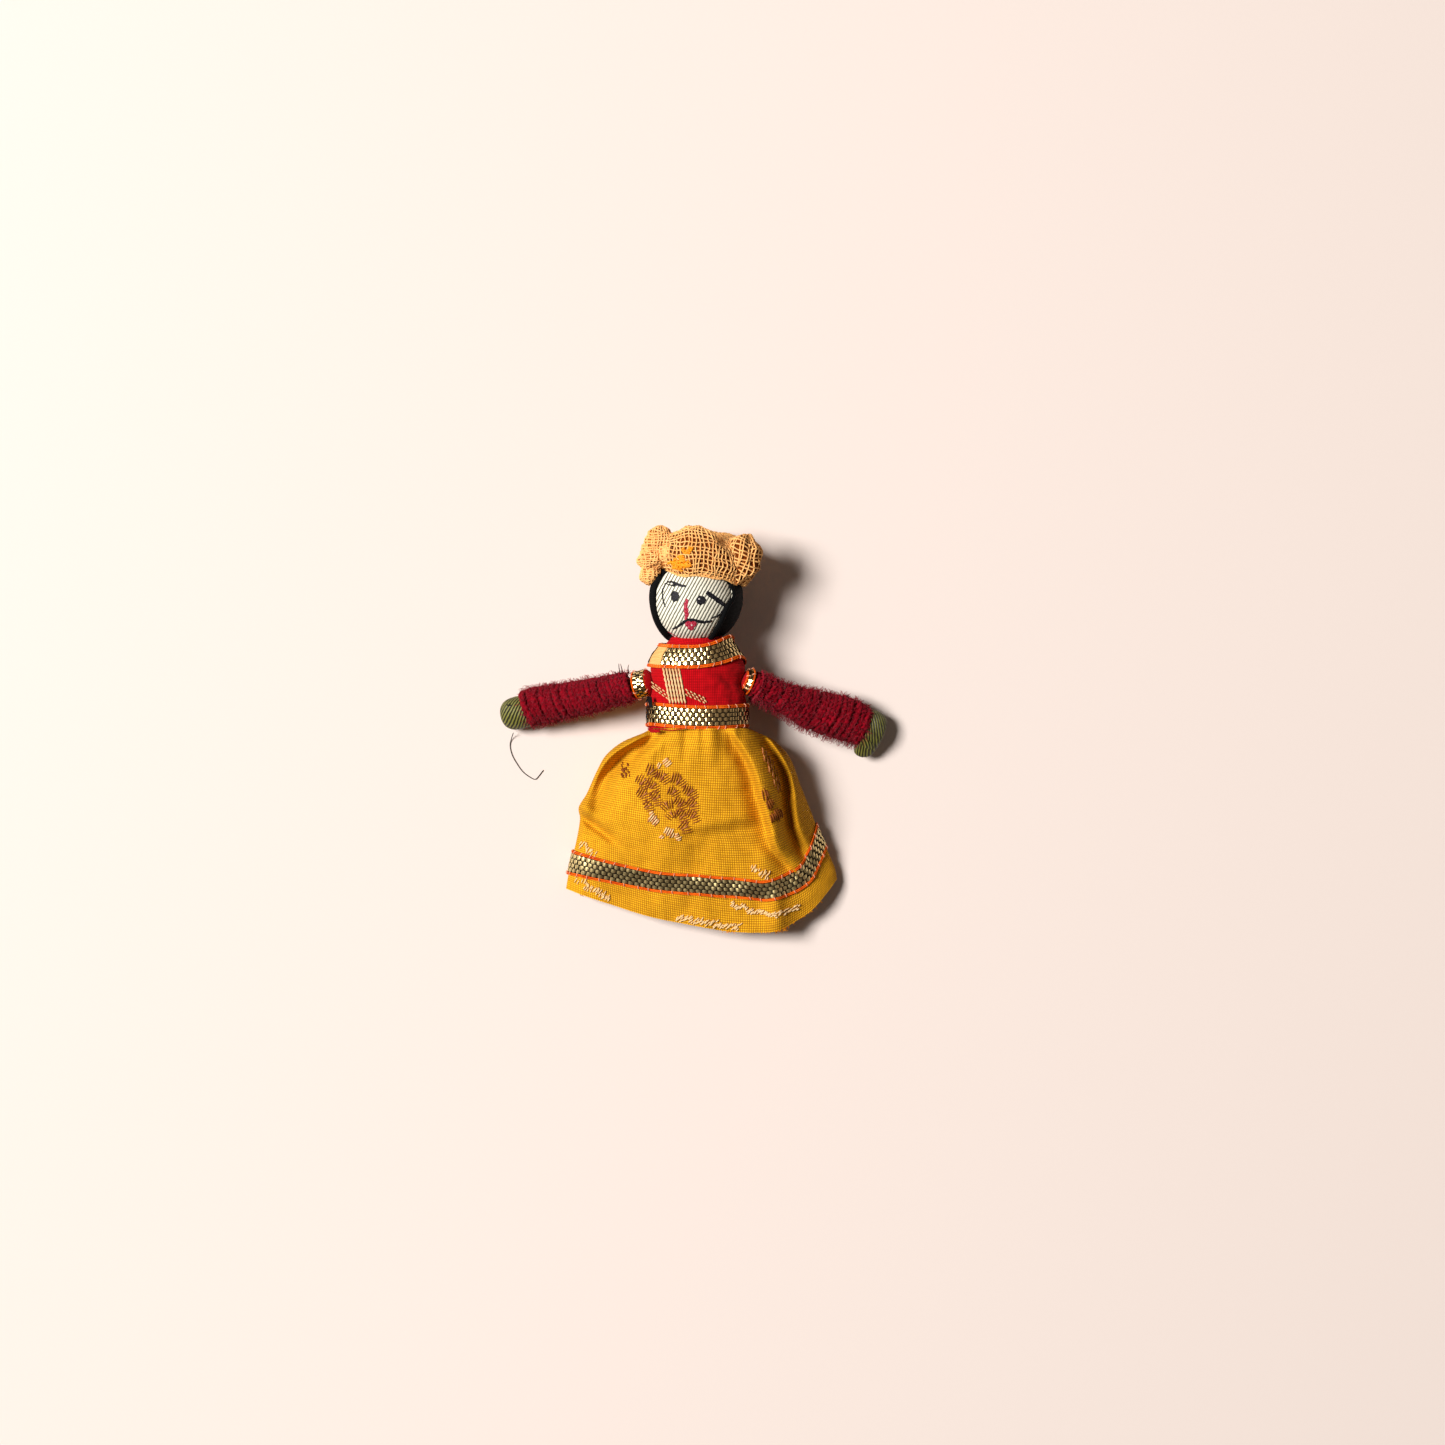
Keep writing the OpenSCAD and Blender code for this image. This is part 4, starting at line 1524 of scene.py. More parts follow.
    def build_knob(self) -> None:
        """Build the big end of the roll, brown under an open net."""
        bm = bmesh.new()
        bend_grid(bm, (60, 36), self.lump_place(self.knob, 9, -0.15), (36.0, 19.0))
        make_piece(bm, "turban_knob_layer", "trunk", TURBAN_BROWN)
        bm = bmesh.new()
        self.wind_net(bm, self.knob, 9, random.Random(4))
        make_piece(bm, "turban_knob_net", "trunk", NET)

    def wind_net(self, bm: bmesh.types.BMesh, lump: Lump, number: int, chance: random.Random) -> None:
        """Cover one knot with threads that cross.

        Args:
            bm: The net's mesh.
            lump: The knot.
            number: Its number, which varies its creases.
            chance: What varies the threads.
        """
        place = self.lump_place(lump, number, 0.08)
        rounds, lengths = lump.loops
        for loop in range(rounds):
            off, phase = (loop + 0.5) / rounds, chance.random()
            wave, wild = chance.uniform(0.005, 0.3) / rounds, chance.randint(2, 4)
            points = []
            for i in range(2 * lengths + 1):
                share = i / (2 * lengths)
                up = off + wave * math.sin(math.tau * (wild * share + phase))
                lift = Vector((0, 0, 0.12 * (-1) ** (i // 2 + loop)))
                points.append(place(share % 1.0, min(max(up, 0.02), 0.98)) + lift)
            add_thread(bm, points, self.thread)
        for loop in range(lengths):
            start, lean = loop / lengths, chance.uniform(-0.4, 0.4) / lengths
            points = []
            for i in range(31):
                share = i / 30
                turn = start + (lean + 0.3 / lengths * math.sin(9 * share + loop)) * math.sin(math.pi * share)
                points.append(place(turn % 1.0, 0.03 + 0.94 * share))
            add_thread(bm, points, self.thread)

    def lump_place(self, lump: Lump, number: int, above: float) -> Place:
        """Give the function that puts points on one bunched knot.

        Args:
            lump: The knot.
            number: Its number, which varies its creases.
            above: How far outside its skin.

        Returns:
            A function of two shares, round the knot and from its lower to its upper end.
        """

        def place(across: float, up: float) -> Vector:
            """Put one point on the knot, creased and kept off the head."""
            angle, tilt = math.tau * across, math.pi * (up - 0.5)
            ways = Vector(
                (math.cos(tilt) * math.cos(angle), math.sin(tilt), math.cos(tilt) * math.sin(angle))
            )
            crease = 1 + 0.2 * noise.noise(
                ways * 1.6 + Vector((number * 5.0, 0, 0))
            ) + 0.1 * noise.noise(ways * 4.0)
            size = Vector(lump.size) * crease
            off = Vector(s * w for s, w in zip(size, ways)) + ways * above
            off.rotate(Matrix.Rotation(math.radians(lump.lean), 3, "Z"))
            return self.keep_off(Vector(lump.middle) + off, above)

        return place

    def build_floss(self) -> None:
        """Build the yellow and orange floss that pokes through the net at the front."""
        bm = bmesh.new()
        chance = random.Random(8)
        for x, y, wide, tall, count in (
            (-4.0, 41.2, 2.7, 1.2, 60), (-1.9, 44.5, 0.9, 1.0, 16), (-3.4, 43.0, 0.8, 0.5, 6)
        ):
            for _ in range(count):
                angle, far = chance.uniform(0, math.tau), math.sqrt(chance.random())
                cx, cy = x + wide * far * math.cos(angle), y + tall * far * math.sin(angle) - 0.1 * (x + 4)
                turn, curl = chance.uniform(0, math.tau), chance.uniform(1.5, 4.5)
                size = chance.uniform(0.25, 0.6)
                points = []
                for i in range(7):
                    angle = turn + curl * i / 6
                    points.append(self.front(
                        cx + 1.3 * size * math.cos(angle), cy + 0.8 * size * math.sin(angle),
                        chance.uniform(0.2, 0.5)
                    ))
                add_thread(bm, points, chance.uniform(0.18, 0.3))
        make_piece(bm, "turban_floss", "trunk", FLOSS, ("turban_flecks",))

    def build_crown(self) -> None:
        """Build the cloth that closes the ring at the top of the head."""
        bm = bmesh.new()

        def place(across: float, up: float) -> Vector:
            """Put one point of a low dome with pleats towards its middle."""
            angle = math.tau * across
            wide = 6.6 * up
            y = 47.2 - 0.055 * wide * wide + 0.35 * math.sin(9 * angle) * math.sin(math.pi * up)
            return Vector((wide * math.cos(angle), y, self.axis_z + wide * math.sin(angle)))

        bend_grid(bm, (90, 18), place, (40.0, 7.0))
        make_piece(bm, "turban_crown", "trunk", TURBAN_PEACH, ("turban_cap",), wall=0.4)


# ---- Arms ----


@dataclass
class Arm:
    """One arm: a cloth roll wound in wool, with a gilt sleeve band and a ribbon hand.

    Attributes:
        side: Which arm it is.
        shoulder: Its knot.
        drop: Angle below a line across the shoulders, in degrees.
        half_wide: Half its width, as seen from the front, at each distance from the knot.
        shift: How far its middle is to the turban's side of its line.
        half_high: Half its height off the table.
        dip: Angle towards the table, in degrees.
        band_r: Radius inside the sleeve band.
        band_at: The sleeve band's distance from the knot.
        sleeve_ball: Radius of the red cloth at the arm's end.
        cap_from: Where that cloth starts, as a distance from the knot.
        room: Nothing near the knot lies further than this from it, so that it turns in the armhole.
        yarn: Distance from one turn of yarn to the next.
        wool_from: Distance where the wool starts.
        wool_to: Distance where it stops.
    """

    side: Side
    shoulder: tuple[float, float, float]
    drop: float
    half_wide: Knots
    shift: Knots
    half_high: Knots = ((0.0, 3.3), (4.0, 3.6), (15.0, 4.0), (26.0, 4.3), (31.5, 4.0))
    # The hand is 3.9 mm thick each way, rests 0.2 mm clear of the table and is 33.8 mm from the knot.
    dip: float = math.degrees(math.asin((AXIS_Z - 3.9 - 0.2) / 33.8))
    band_r: float = 3.2
    band_at: float = -0.7
    sleeve_ball: float = 4.08
    cap_from: float = -2.3
    room: float = 4.2
    yarn: float = 1.12
    wool_from: float = 1.7
    wool_to: float = 31.0

    def label(self) -> str:
        """Give the arm's name for its pieces."""
        return self.side.name.lower()

    def point(self, run: float, across: float, up: float) -> Vector:
        """Give a point in the arm's own frame.

        Args:
            run: Distance along the arm from its knot.
            across: Distance towards the turban.
            up: Distance away from the table.

        Returns:
            The point in the doll's frame, in millimetres.
        """
        dip, turn = math.radians(self.dip), -math.radians(self.drop)
        ahead = Vector((math.cos(dip) * math.cos(turn), math.cos(dip) * math.sin(turn), -math.sin(dip)))
        beside = Vector((-math.sin(turn), math.cos(turn), 0))
        above = Vector((math.sin(dip) * math.cos(turn), math.sin(dip) * math.sin(turn), math.cos(dip)))
        off = ahead * run + beside * across + above * up
        off.x *= self.side.value
        return Vector(self.shoulder) + off

    def skin(self, run: float, angle: float, above: float = 0.0) -> Vector:
        """Give a point on the wool's surface at an angle round the arm."""
        wide, high = along(self.half_wide, run) + above, along(self.half_high, run) + above
        lumpy = 1 + 0.06 * wrinkle(run, angle * 2.0, 3.0, float(self.side.value))
        point = self.point(
            run, along(self.shift, run) + lumpy * wide * math.cos(angle), lumpy * high * math.sin(angle)
        )
        point.z = max(point.z, 0.15)
        return point

    def build(self) -> None:
        """Build the roll inside, the wool, its loose fibres, the sleeve band and the hand."""
        self.build_roll()
        self.build_wool()
        self.build_fibres()
        self.build_sleeve_end()
        self.build_band()
        self.build_hand()

    def build_roll(self) -> None:
        """Build the cloth roll that the wool is wound on, closed at both ends."""
        bm = bmesh.new()

        def place(across: float, up: float) -> Vector:
            """Put one point on the roll, with a spiral at its shoulder end."""
            angle, share = math.tau * across, min(up / 0.12, (1 - up) / 0.12, 1.0)
            run = 2.7 + 29.0 * ease(up, 0.08, 0.92)
            groove = 0.2 * math.sin(3 * math.tau * share + angle) * (share < 1)
            return self.point(run + groove, 2.5 * share * math.cos(angle), 2.5 * share * math.sin(angle))

        bend_grid(bm, (40, 60), place, (16.0, 30.0))
        roll = make_piece(
            bm, f"arm_roll_{self.label()}", f"arm_{self.label()}", RAG, (f"arm_core_{self.label()}",)
        )

    def build_wool(self) -> None:
        """Wind the two-ply yarn round the arm over a layer of the same wool."""
        bm = bmesh.new()

        def place(across: float, up: float) -> Vector:
            """Put one point on the under layer, drawn in at both ends."""
            share = min(up / 0.03, (1 - up) / 0.03, 1.0) ** 0.5
            run = self.wool_from + 0.2 + (self.wool_to - self.wool_from - 0.2) * up
            base = self.skin(run, math.tau * across, -0.75)
            centre = self.point(run, along(self.shift, run), 0)
            return centre + (base - centre) * share

        bend_grid(bm, (48, 100), place, (27.0, 29.0))
        turns = (self.wool_to - self.wool_from - 0.6) / self.yarn
        steps = 66
        points = []
        for i in range(int(turns * steps) + 1):
            angle = math.tau * i / steps
            run = self.wool_from + 0.5 + self.yarn * i / steps
            drift = 0.9 * wrinkle(i / steps, 0.0, 1.3, 3.0) + 0.8 * math.cos(angle)
            drift += 0.35 * wrinkle(run, 1.5 * math.sin(angle), 0.8, 9.0)
            loose = 0.34 * wrinkle(run * 0.9, 2.0 * math.sin(angle) + math.cos(angle), 0.7, 5.0)
            points.append(
                self.skin(min(max(run + drift, self.wool_from), self.wool_to), angle, -0.55 + loose)
            )
        add_thread(bm, points, 0.76, sides=8, plies=2, lay=1.3)
        make_piece(
            bm, f"arm_wool_wound_{self.label()}", f"arm_{self.label()}", WOOL, (f"arm_wool_{self.label()}",)
        )

    def build_fibres(self) -> None:
        """Raise loose fibres from the wool, longest on the lower edge of the +X arm."""
        bm = bmesh.new()
        chance = random.Random(31 + self.side.value)
        for _ in range(2200):
            run, angle = chance.uniform(self.wool_from, self.wool_to), chance.uniform(-0.7, math.pi + 0.7)
            reach = chance.uniform(0.25, 1.45)
            if self.side is Side.RIGHT and math.cos(angle) < 0:
                reach *= 1.6
            slide, swing = chance.uniform(-1.4, 1.4), chance.uniform(-0.25, 0.25)
            points = []
            for i in range(5):
                share = i / 4
                points.append(self.skin(
                    min(max(run + slide * share, 0.5), 33.0),
                    angle + swing * share, reach * math.sin(share * chance.uniform(1.2, 2.2)) - 0.2
                ))
            add_thread(bm, points, 0.05, sides=3)
        make_piece(bm, f"arm_loose_fibres_{self.label()}", f"arm_{self.label()}", WOOL_HAIR)

    def build_sleeve_end(self) -> None:
        """Build the red cloth that rounds the arm's end inside the armhole."""
        bm = bmesh.new()

        def place(across: float, up: float) -> Vector:
            """Put one point on a ball with its outer part cut away."""
            first = math.acos(self.cap_from / self.sleeve_ball)
            tilt = first + (math.pi - first) * up
            size = self.sleeve_ball + 0.05 * math.sin(24 * math.pi * across) * math.sin(math.pi * up)
            reach = size * math.sin(tilt)
            angle = math.tau * across
            return self.point(size * math.cos(tilt), reach * math.cos(angle), reach * math.sin(angle))

        bend_grid(bm, (64, 20), place, (26.0, 9.0))
        make_piece(bm, f"sleeve_end_{self.label()}", f"arm_{self.label()}", RED_POPLIN)

    def build_band(self) -> None:
        """Wind the gilt sleeve band, and stand three cut threads beside the -X one."""
        girth = math.tau * self.band_r

        def lay(run: float, off: float, height: float) -> Vector:
            """Put a point on the band, its join underneath."""
            angle = -math.pi / 2 + math.tau * run / girth
            at = self.band_at - off
            room = math.sqrt(max(self.room**2 - at**2, 1.0)) if at < 0 else self.room
            size = min(self.band_r, room - 0.5) + height + 0.2 * ease(run, girth - 1.5, girth + 0.3)
            return self.point(at, size * math.cos(angle), size * math.sin(angle))

        rows = 3 if self.side is Side.LEFT else 1
        GiltRibbon(
            f"sleeve_band_{self.label()}", f"arm_{self.label()}", lay, girth + 0.4,
            (f"sleeve_band_{self.label()}",), rows=rows, cord=0.45, stitch_step=3.4, pitch=0.98,
        ).build()
        if self.side is Side.LEFT:
            bm = bmesh.new()
            for run, lean, tall in ((2.0, -0.6, 2.0), (3.4, 0.1, 2.7), (4.2, -0.3, 2.9), (5.2, 0.2, 1.2)):
                points = [
                    self.point(run, 3.2, 0.6), self.point(run + 0.3 * lean, 3.6 + 0.5 * tall, 0.9),
                    self.point(run + lean, 3.5 + tall, 0.8),
                ]
                add_thread(bm, smooth_path(points, 9), 0.15, taper=0.5)
            make_piece(bm, "shoulder_cut_threads", "arm_left", BLACK_THREAD)

    def build_hand(self) -> None:
        """Fold the olive ribbon over the arm's end."""
        bm = bmesh.new()
        if self.side is Side.LEFT:
            reach = ((0.0, 3.6), (0.15, 4.0), (0.45, 4.15), (0.7, 3.7), (0.88, 2.3), (1.0, 0.0))
            runs = ((0.0, 29.9), (0.45, 33.4), (0.7, 35.8), (0.88, 37.3), (1.0, 37.7))
            wide, high, shift = 1.0, 0.92, 0.1
        else:
            reach = ((0.0, 3.9), (0.2, 4.3), (0.5, 4.3), (0.75, 3.7), (0.9, 2.2), (1.0, 0.0))
            runs = ((0.0, 30.3), (0.5, 33.4), (0.75, 35.2), (0.9, 36.0), (1.0, 36.2))
            wide, high, shift = 1.18, 0.84, -0.5

        def place(across: float, up: float) -> Vector:
            """Put one point on the folded ribbon."""
            angle, share = math.tau * across, 0.06 + 0.94 * up
            size, run = along(reach, share), along(runs, share)
            if up == 0:
                size *= 0.7
            point = max(-math.cos(angle), 0) ** 6 * (
                2.0 if self.side is Side.RIGHT else 0.0
            ) * (size / 4.3) ** 2
            rib = 0.05 * math.sin(angle * 26) * math.sin(up * 40)
            at = self.point(
                run, shift + (wide * (size + rib) + point) * math.cos(angle),
                high * (size + rib) * math.sin(angle)
            )
            at.z = max(at.z, 0.1)
            return at

        bend_grid(bm, (96, 60), place, (25.0, 11.0))
        make_piece(
            bm, f"hand_ribbon_{self.label()}", f"arm_{self.label()}", OLIVE_RIBBON, (f"hand_{self.label()}",)
        )
        self.build_hand_trim()

    def build_hand_trim(self) -> None:
        """Stitch the -X hand and hang its thread, and fold a flap on the +X hand."""
        bm = bmesh.new()
        if self.side is Side.LEFT:
            for start, stop in (
                ((33.2, 2.2), (35.0, 2.6)), ((33.4, 1.6), (35.2, 1.9)), ((34.6, 1.2), (33.6, 3.0))
            ):
                points = []
                for i in range(8):
                    run = start[0] + (stop[0] - start[0]) * i / 7
                    across = start[1] + (stop[1] - start[1]) * i / 7
                    points.append(self.point(
                        run, across,
                        3.35 - 0.16 * across - 0.25 * (run - 33) + 0.35 * math.sin(math.pi * i / 7)
                    ))
                add_thread(bm, points, 0.26)
            make_piece(bm, "hand_stitch", "arm_left", BLACK_THREAD)
            bm = bmesh.new()
            line = (
                (-46.3, -0.4, 2.4), (-46.9, -1.9, 0.6), (-47.3, -3.6, 0.2), (-46.9, -5.8, 0.2),
                (-45.9, -7.8, 0.2), (-44.1, -10.35, 0.2), (-42.05, -11.9, 0.2), (-40.9, -12.3, 0.2),
                (-40.1, -11.6, 0.2), (-38.75, -9.85, 0.2)
            )
            add_thread(bm, smooth_path([Vector(p) for p in line], 60), 0.11, sides=6)
            make_piece(bm, "hand_loose_thread", "arm_left", GREY_THREAD)
        else:

            def place(across: float, up: float) -> Vector:
                """Put one point on the folded flap."""
                run = 30.6 + 3.4 * across
                off = -3.0 - 2.6 * up - 0.5 * across
                rise = 3.1 * math.sin(math.pi * (0.52 + 0.42 * up)) + 0.5 * math.sin(math.pi * across)
                return self.point(run, off, rise)

            bend_grid(bm, (16, 16), place, (4.0, 4.0))
            make_piece(bm, "hand_flap", "arm_right", OLIVE_RIBBON, wall=0.4)


# ---- Skirt ----


@dataclass(frozen=True)
class Fold:
    """A fold that runs down the skirt's front.

    Attributes:
        line: Place across the doll at each place along it, from the hem up.
        rise: Height at each place along the doll; below 0 is a valley.
        before: Width on the -X side.
        after: Width on the +X side.
    """

    line: Knots
    rise: Knots
    before: float
    after: float

    def height(self, x: float, y: float) -> float:
        """Give the fold's height over a place."""
        return along(self.rise, y) * bump(x, along(self.line, y), self.before, self.after)


@dataclass
class Skirt:
    """The gathered skirt with its folds, lining, gilt trim and brocade flowers.

    Attributes:
        top_y: Where it leaves the waist ribbon.
        seam: Share of its length where the gathered part below the waist ends.
        left: Its -X edge at each share of its length.
        right: Its +X edge.
        hem: Its lower edge along the doll, for each share across it from -1 to 1.
        top: Height of the middle of its front.
        side: Height of its side edges.
        floor: Height of its back.
        folds: Its folds.
        wall: Thickness of the cloth.
    """

    top_y: float = 0.7
    seam: float = 0.062
    left: Knots = (
        (0.0, -11.2), (0.027, -13.0), (0.083, -18.4), (0.164, -22.6), (0.257, -24.9), (0.411, -27.75),
        (0.492, -29.7), (0.566, -29.4), (0.721, -30.5), (0.8, -31.4), (0.9, -32.3), (1.0, -33.0),
    )
    right: Knots = (
        (0.0, 13.0), (0.03, 15.6), (0.075, 19.2), (0.188, 23.4), (0.372, 26.2), (0.505, 28.2), (0.703, 31.2),
        (0.8, 32.9), (0.92, 34.9), (1.0, 35.6),
    )
    hem: Knots = (
        (-1.0, -39.9), (-0.74, -42.9), (-0.37, -46.8), (0.0, -49.3), (0.21, -50.5), (0.45, -50.7),
        (0.56, -50.2), (0.66, -48.6), (0.81, -45.2), (0.93, -40.6), (1.0, -37.4)
    )
    top: Knots = ((0.0, 22.2), (0.03, 23.0), (0.1, 22.9), (0.25, 21.6), (0.5, 18.8), (0.75, 13.8), (1.0, 8.6))
    side: Knots = ((0.0, 14.0), (0.03, 12.0), (0.1, 8.0), (0.2, 5.6), (0.5, 4.2), (0.8, 3.2), (1.0, 2.4))
    floor: Knots = ((0.0, 5.9), (0.03, 3.6), (0.07, 1.6), (0.14, 0.55), (0.3, 0.4), (1.0, 0.4))
    folds: tuple[Fold, ...] = (
        Fold(
            (
                (-44, 30.0), (-36, 26.2), (-33, 23.6), (-29, 20.3), (-24, 18.9), (-15.5, 16.6), (-8, 14.2),
                (0, 9.4)
            ),
            ((-38, 0.0), (-32, 2.2), (-22, 3.6), (-8, 3.0), (0, 1.3)), 1.1, 4.0
        ),
        Fold(
            ((-36, 25.0), (-29, 18.3), (-24, 17.0), (-15.5, 14.6), (-8, 12.2), (0, 7.2)),
            ((-38, 0.0), (-30, -1.3), (-20, -1.7), (-6, -1.3), (0, -0.5)), 2.4, 0.9
        ),
        Fold(
            ((-34, 28.0), (-24, 23.6), (-11, 21.8), (-2, 17.0)),
            ((-34, 0.0), (-28, -2.2), (-14, -3.6), (-3, -2.3), (0, -0.8)), 1.4, 1.1
        ),
        Fold(
            ((-34, 31.0), (-24, 26.0), (-11, 24.0), (-2, 18.8)),
            ((-34, 0.0), (-24, 1.2), (-10, 1.3), (0, 0.4)), 1.1, 2.0
        ),
        Fold(
            (
                (-24, -25.6), (-19, -24.6), (-14, -23.6), (-10, -21.4), (-5.5, -17.0), (-2.8, -13.0),
                (-1.0, -10.6)
            ),
            ((-26, 0.0), (-19, -2.2), (-14, -3.8), (-9, -4.8), (-4, -3.4), (-1, -1.2)), 2.0, 3.0
        ),
        Fold(
            ((-19, -28.7), (-14, -27.0), (-10, -24.9), (-5.5, -20.6), (-2.8, -16.0), (-1, -12.8)),
            ((-19, 0.4), (-10, 1.6), (-4, 1.8), (0, 0.5)), 1.6, 1.4
        ),
        Fold(
            ((-14, -18.4), (-7, -15.6), (-1.5, -11.0)), ((-14, 0.0), (-8, -1.6), (-2, -1.2), (0, -0.3)), 1.0,
            2.0
        ),
        Fold(
            ((-15, -12.6), (-7, -11.6), (-1.5, -8.8)), ((-15, 0.0), (-8, 0.7), (-2, 0.9), (0, 0.3)), 1.4, 2.2
        ),
        Fold(((-12, 4.6), (0, 4.0)), ((-12, 0.0), (-5, 0.6), (0, 0.9)), 1.7, 2.2),
        Fold(((-10, -3.0), (0, -2.2)), ((-10, 0.0), (-3, -0.8), (0, -1.0)), 1.2, 1.5),
        Fold(((-40, -26.0), (-33, -25.0), (-27, -22.0)), ((-40, 0.6), (-34, 1.0), (-27, 0.0)), 2.4, 3.4),
        Fold(((-52, 21.0), (-40, 19.6), (-36, 18.6)), ((-52, 1.1), (-42, 1.5), (-36, 0.4)), 3.2, 2.2)
    )
    wall: float = 0.25

    def shares(self, turn: float) -> tuple[float, float]:
        """Give how far across, from -1 to 1, and how far to the front a share of a turn is."""
        angle = math.tau * (turn - 0.25)
        return math.cos(angle), math.sin(angle)

    def place_y(self, across: float, down: float) -> float:
        """Give the place along the doll for a share across and a share down the skirt."""
        return self.top_y + (along(self.hem, across) - self.top_y) * down

    def skin(self, turn: float, down: float, inside: float = 0.0) -> Vector:
        """Give a point on the skirt.

        Args:
            turn: Share of a turn round it, from the middle of the back towards +X.
            down: Share of its length from the waist.
            inside: How far inside the cloth the point is.

        Returns:
            The point, in millimetres.
        """
        across, front = self.shares(turn)
        left, right = along(self.left, down) + inside, along(self.right, down) - inside
        x = left + (right - left) * (across + 1) / 2
        y = self.place_y(across, down)
        edge = along(self.side, down)
        if front > 0:
            z = edge + (along(self.top, down) - inside - edge) * front**0.8
            z += self.relief(x, y, down, across) * ease(front, 0.02, 0.35)
        else:
            low = along(self.floor, down) + inside
            z = edge - (edge - low) * (-front) ** 0.45
            wave = 0.5 * (
                1 + math.sin(0.55 * x + 0.09 * y)
            ) * ease(-front, 0.1, 0.5) * (1 - ease(down, 0.0, 0.08))
            z += wave * 0.8
        return Vector((x, y, max(z, 0.3 + inside)))

    def relief(self, x: float, y: float, down: float, across: float) -> float:
        """Give the height of the front's folds and creases over a place.

        Args:
            x: The place across the doll.
            y: The place along the doll.
            down: Share of the skirt's length from the waist.
            across: Share across it, from -1 to 1.

        Returns:
            The height, in millimetres.
        """
        height = 1.3 * sum(fold.height(x, y) for fold in self.folds)
        height += 0.27 * math.sin(math.tau * x / 3.1 + 1.2 * math.sin(0.7 * x)) * math.exp(-down / 0.075)
        crease = -21.0 - 0.68 * (x + 30)
        height -= 2.8 * bump(y, crease, 1.2, 1.8) * ease(x, -31, -28) * (1 - ease(x, -24, -17))
        height += 1.5 * bump(y, crease + 3.0, 1.8, 2.2) * (1 - ease(x, -27, -20))
        step = -24.6 + 0.16 * (x + 1)
        height -= 1.1 * ease(
            -y, -step - 1.0, -step + 2.2
        ) * (1 - ease(-y, 33, 41)) * ease(x, -7, 0) * (1 - ease(x, 12, 18))
        height += 0.5 * bump(y, step + 1.2, 1.6, 2.4) * ease(x, -5, 0) * (1 - ease(x, 12, 17))
        height += 0.7 * wrinkle(x, y, 9.0, 2.0) + 0.35 * wrinkle(x, y, 3.6, 6.0) * ease(down, 0.02, 0.2)
        height += 0.5 * math.sin(0.42 * x + 0.6) * ease(down, 0.86, 1.0) * (1 - abs(across))
        return height

    def spot(self, x: float, y: float) -> tuple[float, float]:
        """Give the share of a turn and of the length for a place on the skirt's front."""
        across, down = 0.0, 0.5
        for _ in range(6):
            down = (self.top_y - y) / (self.top_y - along(self.hem, across))
            left, right = along(self.left, down), along(self.right, down)
            across = min(max(2 * (x - left) / (right - left) - 1, -0.999), 0.999)
        return 0.25 + math.acos(across) / math.tau, down

    def front(self, x: float, y: float, above: float) -> Vector:
        """Give the point a little above the skirt's front over a place."""
        turn, down = self.spot(x, y)
        return self.lifted(turn, down, above)

    def lifted(self, turn: float, down: float, above: float) -> Vector:
        """Give a point above the cloth, square to it.

        Args:
            turn: Share of a turn round the skirt.
            down: Share of its length.
            above: Height over the cloth.

        Returns:
            The point, in millimetres.
        """
        here = self.skin(turn, down)
        round_it = self.skin(turn + 0.002, down) - self.skin(turn - 0.002, down)
        along_it = self.skin(turn, down + 0.006) - self.skin(turn, down - 0.006)
        out = round_it.cross(along_it).normalized()
        across, front = self.shares(turn)
        rough = Vector((across, 0, front if front > 0 else front * 2))
        if out.dot(rough) < 0:
            out = -out
        return here + out * above

    def cloth_piece(
        self, name: str, rows: tuple[float, float], cells: tuple[int, int], finish: Finish,
        nodes: Sequence[str] = (), inside: float = 0.0
    ) -> bpy.types.Object:
        """Build one length of the skirt's cloth or lining.

        Args:
            name: The piece's name.
            rows: Shares of the skirt's length where it starts and stops.
            cells: How many cells it has round and along.
            finish: What it is made of.
            nodes: The design solids that it stands for.
            inside: How far inside the outer cloth it is.

        Returns:
            The new piece.
        """
        bm = bmesh.new()
        start, stop = rows
        tables: dict[float, list[float]] = {}

        def flat(across: float, up: float) -> tuple[float, float]:
            """Give the distance round from the middle of the front, and the distance down."""
            down = start + (stop - start) * up
            if down not in tables:
                tables[down] = distances([self.skin(i / 120, down, inside) for i in range(121)])
            runs = tables[down]
            at = min(across * 120, 119.999)
            low = int(at)
            run = runs[low] + (runs[low + 1] - runs[low]) * (at - low) - runs[60]
            return run, 48.0 * down

        bend_grid(bm, cells, lambda a, b: self.skin(a, start + (stop - start) * b, inside), flat)
        piece = make_piece(bm, name, "", finish, nodes, wall=self.wall)
        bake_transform(piece)
        return piece

    def build(self) -> None:
        """Build the cloth, the lining, the trim, the flowers and the frayed edge."""
        yoke = self.cloth_piece(
            "skirt_gathers", (0.0, self.seam), (420, 9), SKIRT_CAMBRIC
        )
        main = self.cloth_piece(
            "skirt_cloth", (self.seam, 1.0), (420, 100), SKIRT_CAMBRIC, ("skirt",)
        )
        lining = self.cloth_piece(
            "skirt_lining_cloth", (0.075, 0.6), (160, 40), MUSLIN,
            ("skirt_lining",), inside=0.7,
        )
        self.build_trim()
        self.build_flowers()
        self.build_fray()

    def build_trim(self) -> None:
        """Sew the gilt ribbon round the skirt above its hem."""
        line = (
            (0.0, 0.79), (0.2, 0.73), (0.25, 0.71), (0.30, 0.745), (0.345, 0.80), (0.41, 0.795),
            (0.46, 0.776), (0.55, 0.80), (0.65, 0.822), (0.75, 0.835), (0.85, 0.82), (1.0, 0.79)
        )
        count = 240
        runs = distances([self.skin(i / count, along(line, i / count)) for i in range(count + 1)])
        table = [(run, i / count) for i, run in enumerate(runs)]
        girth = runs[-1]

